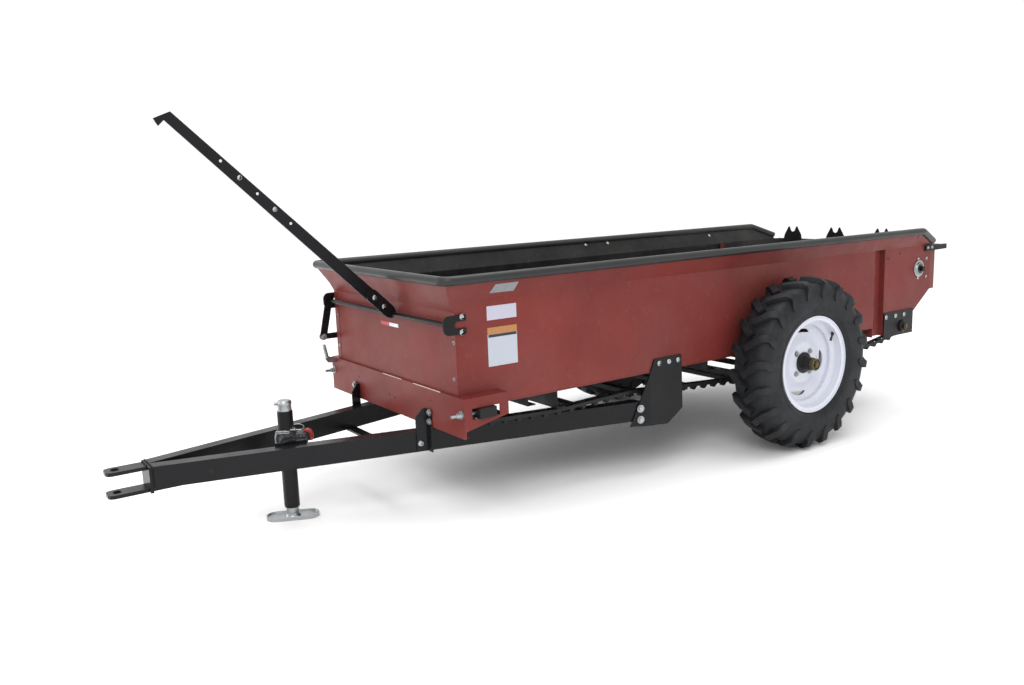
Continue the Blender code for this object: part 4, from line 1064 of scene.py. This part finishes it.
class SPREADER_OT_drawbar(bpy.types.Operator):
    """Add the drawbar's welds, holes, bolts and hitch details"""

    bl_idname = "spreader.drawbar"
    bl_label = "Drawbar"
    bl_options = {"UNDO"}

    def on_beam(self, y, z, out=0.0, side=1):
        """A place on a beam's outer face."""
        x = BEAM_HALF + (y - BEAM_FRONT) * BEAM_SLOPE
        normal = Vector((math.cos(BEAM_ANGLE), -math.sin(BEAM_ANGLE), 0))
        place = at(x, y, z) + normal * out
        return Vector((side * place.x, place.y, place.z)), Vector((side * normal.x, normal.y, 0))

    def bead(self, bm, start, end, radius=0.0035):
        """A weld bead as a row of overlapping ripples."""
        start, end = Vector(start), Vector(end)
        count = max(3, int((end - start).length / 0.0045))
        for number in range(count):
            place = start.lerp(end, (number + 0.5) / count)
            turn = Matrix.Translation(place) @ aim(end - start) @ Matrix.Diagonal((radius, radius, 0.0034, 1))
            bmesh.ops.create_icosphere(bm, subdivisions=1, radius=1, matrix=turn)

    def straps(self):
        """The bent angle straps between the lower front plate and the beams."""
        for side, name in SIDES:
            low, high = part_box("drawbar_strap_" + name)
            near, far = (low[0], high[0]) if side == 1 else (-high[0], -low[0])
            front, rear = low[1], high[1]
            inner = near + (rear - front) * BEAM_SLOPE
            start = rear - 0.66 * (rear - front)
            near = inner - (rear - start) * BEAM_SLOPE
            thick = 0.0058
            plan = [(near, start), (inner, rear - 0.0002), (far - 0.0002, rear - 0.0002),
                    (far - 0.0002, rear - thick), (inner + thick, rear - thick), (near + thick, start)]
            bottom, top = 0.2335, 0.3900
            bm = bmesh.new()
            outline(bm, [Vector((side * x, y, bottom)) for x, y in plan], (0, 0, top - bottom))
            cut = bmesh.ops.bisect_plane(bm, geom=bm.verts[:] + bm.edges[:] + bm.faces[:], clear_outer=True,
                                         plane_co=(0, start, top - 0.030), plane_no=(0, -0.030, 0.026))
            edges = [part for part in cut["geom_cut"] if isinstance(part, bmesh.types.BMEdge)]
            bmesh.ops.edgeloop_fill(bm, edges=edges)
            fitting("angle_strap_" + name, bm, black_paint(), "black_paint",
                    ("drawbar_strap_" + name,), bevel=0.0008)

    def execute(self, context):
        self.straps()
        bright = bmesh.new()
        holes = bmesh.new()
        welds = bmesh.new()
        for side in (1, -1):
            spot, normal = self.on_beam(-2.384, 0.266, 0, side)
            # A dark disc of painted shade stands in for each hole through a beam.
            rod(holes, spot - normal * 0.001, spot + normal * 0.0006, 0.0085, 20)
            spot, normal = self.on_beam(-1.682, 0.262, 0.0066, side)
            dome_bolt(bright, spot, normal, 0.0115)
            for y in (-0.720, -0.668, -0.617):
                dome_bolt(bright, at(side * FITTING_X, y, 0.451), (side, 0, 0), 0.0105)
            for z in (0.235, 0.280):
                hex_bolt(bright, *self.on_beam(-0.811, z, 0.0063, side), 0.0105)
            for x, z in ((0.310, 0.381), (0.307, 0.347)):
                hex_bolt(bright, (side * x, PLATE_Y - 0.0063, z), (0, -1, 0), 0.0090)
            spot = self.on_beam(-2.5585, 0.2315, 0.0, side)[0]
            self.bead(welds, spot, spot + Vector((0, 0, 0.073)))
            self.bead(welds, at(side * 0.0525, -2.5595, 0.3065), at(side * 0.004, -2.5595, 0.3065))
            self.bead(welds, at(side * 0.033, -2.571, 0.3075), at(side * 0.002, -2.571, 0.3075))
            inner = (-1.770 - BEAM_FRONT) * BEAM_SLOPE
            self.bead(welds, at(side * inner, -1.768, 0.2425), at(side * (inner + 0.008), -1.734, 0.2425))
        for z in (0.306, 0.2297):
            torus(welds, at(0, -2.664, z + 0.0002), (0, 0, 1), 0.0135, 0.0012, 24, 6)
        fitting("drawbar_bolts", bright, zinc(), "zinc")
        fitting("drawbar_holes", holes, shadow(), "black_paint")
        fitting("drawbar_welds", welds, black_paint(), "black_paint")
        self.tube_end_shade()
        return {"FINISHED"}

    def tube_end_shade(self):
        """Painted shade: dark sheets over the open rear ends of the beams, inside the edges of the tube walls."""
        bm = bmesh.new()
        for side in (1, -1):
            x = BEAM_HALF + (-0.800 - BEAM_FRONT) * BEAM_SLOPE
            outer = [(x - 0.004, 0.234), (x - 0.0485, 0.234), (x - 0.0485, 0.302), (x - 0.004, 0.302)]
            outline(bm, [at(side * a, -0.8002, z) for a, z in outer], (0, 0.0008, 0))
        fitting("beam_end_shadow_sheets", bm, shadow(), "black_paint", smooth=False)


class SPREADER_OT_jack(bpy.types.Operator):
    """Build the swivel jack: tube, casting with its wrapped chain, cap, pull pin, grip and foot"""

    bl_idname = "spreader.jack"
    bl_label = "Jack"
    bl_options = {"UNDO"}

    def execute(self, context):
        place = Matrix.Translation(at(0, -2.080, 0.290)) @ Matrix.Rotation(-BEAM_ANGLE, 4, "Z")
        self.tube(place)
        self.casting(place)
        self.socket(place)
        self.foot(place)
        return {"FINISHED"}

    def settle(self, bm, place):
        bmesh.ops.transform(bm, matrix=place, verts=bm.verts)

    def tube(self, place):
        bm = bmesh.new()
        upright(bm, [(0.0230, -0.247), (0.0262, -0.247), (0.0275, -0.2455), (0.0275, 0.1100),
                     (0.0262, 0.1130), (0.0, 0.1130), (0.0, 0.092), (0.0230, 0.092)])
        block(bm, (-0.0012, -0.0281, -0.240), (0.0012, -0.0262, 0.106))
        self.settle(bm, place)
        piece("jack_outer_tube", bm, black_paint(), "jack", "black_paint", ("jack_tube",))
        bm = bmesh.new()
        upright(bm, [(0.0, 0.1125), (0.0252, 0.1125), (0.0248, 0.132), (0.0262, 0.136), (0.0262, 0.144),
                     (0.0215, 0.1505), (0.0, 0.1505)])
        rod(bm, (0, -0.010, 0.141), (0, -0.0360, 0.141), 0.0080, 24, 0.0070)
        self.settle(bm, place)
        piece("jack_cap_plated", bm, zinc(), "jack", "zinc")

    def casting(self, place):
        bm = bmesh.new()
        upright(bm, [(0.0277, -0.0445), (0.0335, -0.0445), (0.0355, -0.040), (0.0358, 0.038),
                     (0.0310, 0.0455), (0.0277, 0.0455)])
        spun(bm, [(0.0300, 0.0), (0.0300, 0.0330), (0.0555, 0.0355), (0.0612, 0.0355), (0.0612, 0.0)], 36)
        self.settle(bm, place)
        piece("jack_casting", bm, cast_grey(), "jack", "cast_grey", ("jack_collar",))
        self.chain(place)

    def chain(self, place):
        """The pull pin with its ring, and the light chain that hangs round the front of the casting."""
        bm = bmesh.new()
        hang = [Vector(p) for p in ((0.038, 0.004, 0.040), (0.034, -0.020, 0.042), (0.017, -0.0375, 0.038),
                                    (0.010, -0.0415, 0.016), (0.014, -0.0400, -0.006), (0.030, -0.026, -0.002))]
        length = span_of(hang)
        count = int(length / 0.0075)
        for number in range(count):
            centre, tangent = along(hang, length * (number + 0.5) / count)
            outward = Vector((centre.x, centre.y, 0))
            axis = outward.normalized() if number % 2 else Vector((0, 0, 1)).cross(tangent)
            if axis.length < 0.3:
                axis = outward
            before = len(bm.verts)
            torus(bm, centre, axis, 0.0042, 0.0012, 12, 6)
            bm.verts.ensure_lookup_table()
            for vert in bm.verts[before:]:
                vert.co += tangent * (vert.co - centre).dot(tangent) * 0.45
        torus(bm, Vector((0.022, 0.040, 0.052)), (0.30, 0.10, 1), 0.0205, 0.0014, 32, 8)
        rod(bm, (0.030, 0.012, 0.046), (0.040, 0.028, 0.046), 0.0042, 16)
        for y in (0.036, 0.046, 0.056):
            rod(bm, (0.026, y, 0.0185), (0.0320, y, 0.0185), 0.0042, 6)
        self.settle(bm, place)
        piece("jack_pin_chain", bm, zinc(), "jack", "zinc")
        bm = bmesh.new()
        block(bm, (-0.018, 0.026, -0.030), (0.028, 0.062, 0.030))
        block(bm, (-0.012, 0.058, -0.020), (0.020, 0.072, 0.020))
        self.settle(bm, place)
        piece("jack_lock_housing", bm, cast_grey(), "jack", "cast_grey", bevel=0.0060)
        bm = bmesh.new()
        self.grip(bm)
        self.settle(bm, place)
        piece("jack_red_grip", bm, plastic("red_grip", (0.27, 0.030, 0.022), 0.3), "jack", "zinc")

    def grip(self, bm):
        """The short hooked grip on the jack's locking lever."""
        points = [Vector(p) for p in ((0.010, 0.060, 0.0300), (0.011, 0.066, 0.0330), (0.012, 0.074, 0.0335),
                                      (0.013, 0.081, 0.0290), (0.014, 0.085, 0.0210), (0.014, 0.086, 0.0100),
                                      (0.014, 0.085, 0.0000), (0.014, 0.0835, -0.0060))]
        radii = (0.0050, 0.0068, 0.0082, 0.0090, 0.0092, 0.0084, 0.0066, 0.0030)
        rings = []
        for i, (point, radius) in enumerate(zip(points, radii)):
            direction = points[min(i + 1, len(points) - 1)] - points[max(i - 1, 0)]
            rings.append(ring_at(bm, Matrix.Translation(point) @ aim(direction), radius, 16))
        close_rings(bm, rings)

    def socket(self, place):
        bm = bmesh.new()
        low, high = 0.0622, 0.1152
        spun(bm, [(low, 0.0), (low, 0.0285), (low + 0.0015, 0.0300), (high - 0.010, 0.0300),
                  (high - 0.006, 0.0330), (high, 0.0330), (high, 0.0)], 40)
        block(bm, (high - 0.0075, -0.0545, -0.0585), (high, 0.0545, 0.0270))
        self.settle(bm, place)
        fitting("jack_mount", bm, black_paint(), "black_paint", ("jack_socket",), bevel=0.0010)
        bm = bmesh.new()
        for y in (-0.042, 0.042):
            for z in (0.010, -0.040):
                hex_bolt(bm, (high - 0.0075, y, z), (-1, 0, 0), 0.0085)
        self.settle(bm, place)
        fitting("jack_mount_bolts", bm, zinc(), "zinc")

    def foot(self, place):
        bm = bmesh.new()
        base = -0.290
        half, wide = 0.057, 0.0375
        ordered = []
        for first, end in ((90, half), (-90, -half)):
            for step in range(13):
                angle = math.radians(first - 15 * step)
                ordered.append(Vector((wide * math.sin(angle), end + wide * math.cos(angle), base)))
        face = bm.faces.new([bm.verts.new(point) for point in ordered])
        grown = bmesh.ops.extrude_face_region(bm, geom=[face])
        moved = [item for item in grown["geom"] if isinstance(item, bmesh.types.BMVert)]
        bmesh.ops.translate(bm, vec=(0, 0, 0.0150), verts=moved)
        top = [f for f in bm.faces if all(v.co.z > base + 0.014 for v in f.verts)]
        bmesh.ops.inset_region(bm, faces=top, thickness=0.007, depth=0)
        bmesh.ops.translate(bm, vec=(0, 0, -0.0070), verts=list({v for f in top for v in f.verts}))
        turned = Matrix.Rotation(math.radians(-11), 3, "Z")
        bmesh.ops.rotate(bm, cent=(0, 0, 0), matrix=turned, verts=bm.verts)
        upright(bm, [(0.0, base + 0.006), (0.0300, base + 0.006), (0.0270, base + 0.014),
                     (0.0218, base + 0.018), (0.0218, 0.067), (0.0, 0.067)])
        self.settle(bm, place)
        piece("jack_leg_and_foot", bm, zinc(), "jack_leg", "zinc", ("jack_leg",), bevel=0.0008)


class SPREADER_OT_control(bpy.types.Operator):
    """Build the hand lever with its holes and bolts, and the hardware of its linkage"""

    bl_idname = "spreader.control"
    bl_label = "Control"
    bl_options = {"UNDO"}

    def execute(self, context):
        self.lever()
        bright = bmesh.new()
        for y, z in ((-1.622, 0.7415), (-1.624, 0.6885)):
            for side in (1, -1):
                dome_bolt(bright, at(side * FITTING_X, y, z), (side, 0, 0), 0.0105)
        for x, z in ((0.477, 0.652), (0.470, 0.524), (-0.470, 0.652), (-0.470, 0.524)):
            dome_bolt(bright, at(x, -1.6472, z), (0, -1, 0), 0.0072)
        for side in (1, -1):
            rod(bright, at(side * 0.522, -1.698, 0.410), at(side * 0.522, -1.540, 0.410), 0.0060, 16)
            hex_bolt(bright, at(side * 0.522, -1.6562, 0.410), (0, -1, 0), 0.0108)
            hex_bolt(bright, at(side * 0.522, -1.668, 0.410), (0, -1, 0), 0.0100, washer=False)
            hex_bolt(bright, at(side * 0.520, -1.600, 0.4285), (0, 0, 1), 0.0068)
            for y in (0.793, 0.871, 0.942):
                dome_bolt(bright, at(side * FITTING_X, y, 0.461), (side, 0, 0), 0.0108)
            for y in (1.127, 1.162):
                dome_bolt(bright, at(side * 0.4993, y, 0.7785), (side, 0, 0), 0.0080)
        fitting("box_bolts", bright, zinc(), "zinc")
        bm = bmesh.new()
        for side in (1, -1):
            hex_bolt(bm, at(side * 0.5110, REAR_SHAFT, SHAFT_Z), (side, 0, 0), 0.0150, washer=False)
            start, end = at(side * 0.5170, REAR_SHAFT, SHAFT_Z), at(side * 0.5245, REAR_SHAFT, SHAFT_Z)
            rod(bm, start, end, 0.0085, 16)
        fitting("shaft_end_nuts", bm, yellow_zinc(), "zinc")
        bm = bmesh.new()
        for side in (1, -1):
            spun(bm, [(FITTING_X, 0.0135), (FITTING_X, 0.0300), (0.5035, 0.0300), (0.5050, 0.0270),
                      (0.5110, 0.0240), (0.5110, 0.0135)], 32, at(0, REAR_SHAFT, SHAFT_Z), side)
        fitting("shaft_flanges", bm, black_paint(), "black_paint")
        self.linkage()
        self.forks()
        self.lining_bolts()
        self.guard()
        return {"FINISHED"}

    def lever(self):
        base, bend, tip = at(0, -1.668, 0.714), at(0, -2.4020, 1.4255), at(0, -2.4430, 1.4030)
        direction = (bend - base).normalized()
        unit = Vector((0, -direction.z, direction.y))
        side = unit * 0.0228
        hook = (tip - bend).normalized()
        hook_side = Vector((0, -hook.z, hook.y)) * 0.0136
        inner = bend - side + hook * 0.012
        turns = [math.radians(angle) for angle in range(10, 171, 16)]
        points = [base + side + direction * 0.014]
        points += [base + (unit * math.cos(turn) - direction * math.sin(turn)) * 0.0153 for turn in turns]
        points += [base + direction * 0.014 - side, inner, tip - hook_side, tip + hook * 0.001,
                   tip + hook_side, bend + side]
        bm = bmesh.new()
        outline(bm, [point + Vector((LEVER_NEAR, 0, 0)) for point in points], (0.0076, 0, 0))
        piece("lever_bar", bm, black_paint(), "lever", "black_paint", ("hand_lever",), bevel=0.0009)
        holes = bmesh.new()
        bright = bmesh.new()
        length = (bend - base).length
        # Pale grey discs of painted light stand in for the holes through the bar: the lit backdrop seen through
        # them, a little shaded.
        for share in (0.496, 0.643, 0.797):
            spot = base + direction * length * share
            for x, way in ((LEVER_FAR, 1), (LEVER_NEAR, -1)):
                rod(holes, spot + Vector((x - way * 0.001, 0, 0)), spot + Vector((x + way * 0.0005, 0, 0)),
                    0.0048, 16)
        for share in (0.567, 0.719):
            spot = base + direction * length * share
            for x, way in ((LEVER_FAR, 1), (LEVER_NEAR, -1)):
                dome_bolt(bright, spot + Vector((x, 0, 0)), (way, 0, 0), 0.0082)
        for distance in (0.045, 0.096):
            spot = base + direction * distance
            dome_bolt(bright, spot + Vector((0.0813, 0, 0)), (1, 0, 0), 0.0105)
            hex_bolt(bright, spot + Vector((LEVER_NEAR, 0, 0)), (-1, 0, 0), 0.0095)
        piece("lever_holes", holes, plastic("lever_hole_shadow", (0.55, 0.55, 0.56), 0.6), "lever", "zinc")
        piece("lever_bolts", bright, zinc(), "lever", "zinc")

    def forks(self):
        """The fork-shaped brackets with rounded noses that carry the control rod."""
        for side, name in SIDES:
            points = [(-1.606, 0.7470), (-1.606, 0.7265), (-1.640, 0.7265)]
            points += [(-1.640 - 0.0125 * s, 0.714 + 0.0125 * c) for c, s in circle(30, 180, 30)]
            points += [(-1.640, 0.7015), (-1.606, 0.7015), (-1.606, 0.6810), (-1.672, 0.6810)]
            points += [(-1.672 - 0.024 * s, 0.705 - 0.024 * c) for c, s in circle(15, 91, 15)]
            points += [(-1.672 - 0.024 * c, 0.723 + 0.024 * s) for c, s in circle(0, 91, 15)]
            bm = bmesh.new()
            start = side * (PANEL_X + 0.0004)
            outline(bm, [at(start, y, z) for y, z in points], (side * 0.0060, 0, 0))
            fitting("fork_bracket_" + name, bm, black_paint(), "black_paint",
                    ("rod_bracket_" + name,), bevel=0.0008)

    def linkage(self):
        bright = bmesh.new()
        pin = at(-0.5140, -1.703, 0.562)
        hex_bolt(bright, pin, (-1, 0, 0), 0.0100)
        hex_bolt(bright, Vector((-0.5010, pin.y, pin.z)), (1, 0, 0), 0.0095)
        piece("crank_pin_nuts", bright, zinc(), "lever", "zinc")
        bm = bmesh.new()
        start, end = at(-0.504, -1.693, 0.470), at(-0.504, -1.7045, 0.528)
        for number in range(9):
            torus(bm, start.lerp(end, 0.10 + 0.085 * number), end - start, 0.0072, 0.0013, 20, 6)
        fitting("crank_stop_coils", bm, zinc(), "zinc")

    def lining_bolts(self):
        """Bolts whose heads show inside the box."""
        bm = bmesh.new()
        for side in (1, -1):
            inward = -flare_normal(side)
            for y, z in ((-0.250, 0.846), (-0.105, 0.846), (0.640, 0.838)):
                dome_bolt(bm, on_flare(side, y, z) + inward * 0.0034, inward, 0.0085)
        fitting("lining_bolts", bm, zinc(), "zinc")

    def guard(self):
        """Edge flange and screws of the drive guard."""
        bm = bmesh.new()
        start, end = Vector((0, TYRE_R)), Vector((BEATER_Y, BEATER_Z))
        direction = (end - start).normalized()
        across = Vector((-direction.y, direction.x))
        for share in (0.30, 0.52, 0.74):
            for way in (1, -1):
                spot = start.lerp(end, share) + across * way * 0.068
                hex_bolt(bm, at(-0.5134, spot.x, spot.y), (-1, 0, 0), 0.0070)
        fitting("guard_screws", bm, zinc(), "zinc")
        bm = bmesh.new()
        low, high = start.lerp(end, 0.14), start.lerp(end, 0.86)
        for way in (0.030, -0.030):
            a, b = low + across * way, high + across * way
            rod(bm, at(-0.5132, a.x, a.y), at(-0.5132, b.x, b.y), 0.0032, 12)
        fitting("guard_ribs", bm, black_paint(), "black_paint")


class SPREADER_OT_labels(bpy.types.Operator):
    """Lay the blank labels on the side, the flare and the front panel"""

    bl_idname = "spreader.labels"
    bl_label = "Labels"
    bl_options = {"UNDO"}

    def flat(self, name, y, z, colour, lift=0.0006):
        """A label on the left-hand side panel, between two y and two z values."""
        bm = bmesh.new()
        block(bm, at(PANEL_X + lift - 0.0005, y[0], z[0]), at(PANEL_X + lift, y[1], z[1]))
        fitting(name, bm, printed(name + "_ink", colour), "white_paint", smooth=False)

    def execute(self, context):
        self.flat("label_upper", (-1.519, -1.3955), (0.7145, 0.7635), (0.43, 0.42, 0.51))
        self.flat("label_lower", (-1.519, -1.396), (0.552, 0.6885), (0.40, 0.43, 0.49))
        self.flat("label_lower_band", (-1.519, -1.396), (0.6645, 0.6885), (0.37, 0.16, 0.045), 0.0008)
        self.flat("label_lower_bar", (-1.516, -1.398), (0.6540, 0.6640), (0.012, 0.012, 0.015), 0.0008)
        bm = bmesh.new()
        normal = flare_normal(1)
        corners = [on_flare(1, y, z) + normal * 0.0003
                   for y, z in ((-1.513, 0.810), (-1.412, 0.809), (-1.402, 0.842), (-1.498, 0.841))]
        outline(bm, corners, normal * 0.0006)
        fitting("data_plate", bm, plated("brushed_plate", (0.30, 0.31, 0.33), 0.45), "zinc", smooth=False)
        for name, start, end, colour in (("front_label_red", -0.064, 0.005, (0.50, 0.03, 0.05)),
                                         ("front_label_white", 0.005, 0.077, (0.72, 0.74, 0.78))):
            bm = bmesh.new()
            block(bm, at(start, -1.6468, 0.6585), at(end, -1.6460, 0.6720))
            fitting(name, bm, printed(name + "_ink", colour), "white_paint", smooth=False)
        return {"FINISHED"}


class SPREADER_OT_stage(bpy.types.Operator):
    """Lay the pale floor and set the camera, the soft lights and the sky"""

    bl_idname = "spreader.stage"
    bl_label = "Stage"
    bl_options = {"UNDO"}

    def light(self, name, place, target, size, power):
        data = bpy.data.lights.new(name, "AREA")
        data.shape = "DISK"
        data.size = size
        data.energy = power
        lamp = placed(name, data)
        lamp.location = place
        lamp.rotation_euler = (Vector(target) - Vector(place)).to_track_quat("-Z", "Y").to_euler()

    def execute(self, context):
        bm = bmesh.new()
        bmesh.ops.create_grid(bm, x_segments=1, y_segments=1, size=60)
        mesh = mesh_of("studio_floor", bm)
        nodes = Nodes("studio_paper")
        clouds = nodes.span(nodes.noise(0.6, 2), 0.3, 0.7)
        nodes.colour(nodes.mix(clouds, (0.955, 0.955, 0.955), (0.975, 0.975, 0.975)))
        nodes.shader.inputs["Roughness"].default_value = 0.9
        mesh.materials.append(nodes.material)
        floor = placed("studio_floor", mesh)
        scene = context.scene
        world = bpy.data.worlds.new("studio")
        world.use_nodes = True
        world.node_tree.nodes["Background"].inputs["Color"].default_value = (1, 1, 1, 1)
        world.node_tree.nodes["Background"].inputs["Strength"].default_value = 1.08
        scene.world = world
        self.light("key", (5.0, -4.5, 5.5), (0, 0, 0.5), 4.0, 200)
        self.light("overhead", (0.0, 0.4, 5.6), (0, 0.2, 0.4), 5.0, 170)
        self.light("front_fill", (-3.2, -6.4, 2.8), (0, -1.0, 0.5), 3.0, 70)
        scene.view_settings.view_transform = "Standard"
        data = bpy.data.cameras.new("camera")
        data.sensor_width = 36
        data.lens = 32.05
        data.clip_end = 400
        camera = placed("camera", data)
        camera.location = at(3.0911, -3.1951, 1.1852)
        forward = Vector((-0.81286, 0.55553, -0.17506)).normalized()
        right = forward.cross(Vector((0, 0, 1))).normalized()
        up = right.cross(forward)
        roll = math.radians(-2.078)
        across = right * math.cos(roll) + up * math.sin(roll)
        above = up * math.cos(roll) - right * math.sin(roll)
        camera.rotation_euler = Matrix((across, above, -forward)).transposed().to_euler()
        scene.camera = camera
        return {"FINISHED"}


class SPREADER_PT_panel(bpy.types.Panel):
    """Lists the spreader's sizes, colours and build steps"""

    bl_idname = "SPREADER_PT_panel"
    bl_label = "Spreader"
    bl_space_type = "VIEW_3D"
    bl_region_type = "UI"
    bl_category = "Spreader"

    def draw(self, context):
        layout = self.layout
        for group in (context.scene.spreader_sizes, context.scene.spreader_finish):
            column = layout.column(align=True)
            for name in group.bl_rna.properties.keys():
                if name not in ("rna_type", "name"):
                    column.prop(group, name)
        for operator in OPERATORS:
            layout.operator(operator.bl_idname)


OPERATORS = (
    SPREADER_OT_panels,
    SPREADER_OT_tyres,
    SPREADER_OT_wheels,
    SPREADER_OT_rails,
    SPREADER_OT_apron,
    SPREADER_OT_beater,
    SPREADER_OT_drawbar,
    SPREADER_OT_jack,
    SPREADER_OT_control,
    SPREADER_OT_labels,
    SPREADER_OT_stage,
)
CLASSES = (SpreaderFinish, SpreaderSizes, *OPERATORS, SPREADER_PT_panel)


def register():
    for made in CLASSES:
        bpy.utils.register_class(made)
    bpy.types.Scene.spreader_finish = bpy.props.PointerProperty(type=SpreaderFinish)
    bpy.types.Scene.spreader_sizes = bpy.props.PointerProperty(type=SpreaderSizes)


def unregister():
    del bpy.types.Scene.spreader_sizes
    del bpy.types.Scene.spreader_finish
    for made in reversed(CLASSES):
        bpy.utils.unregister_class(made)


def main():
    register()
    bpy.ops.spreader.panels()
    bpy.ops.spreader.tyres()
    bpy.ops.spreader.wheels()
    bpy.ops.spreader.rails()
    bpy.ops.spreader.apron()
    bpy.ops.spreader.beater()
    bpy.ops.spreader.drawbar()
    bpy.ops.spreader.jack()
    bpy.ops.spreader.control()
    bpy.ops.spreader.labels()
    bpy.ops.spreader.stage()


if __name__ == "__main__":
    main()
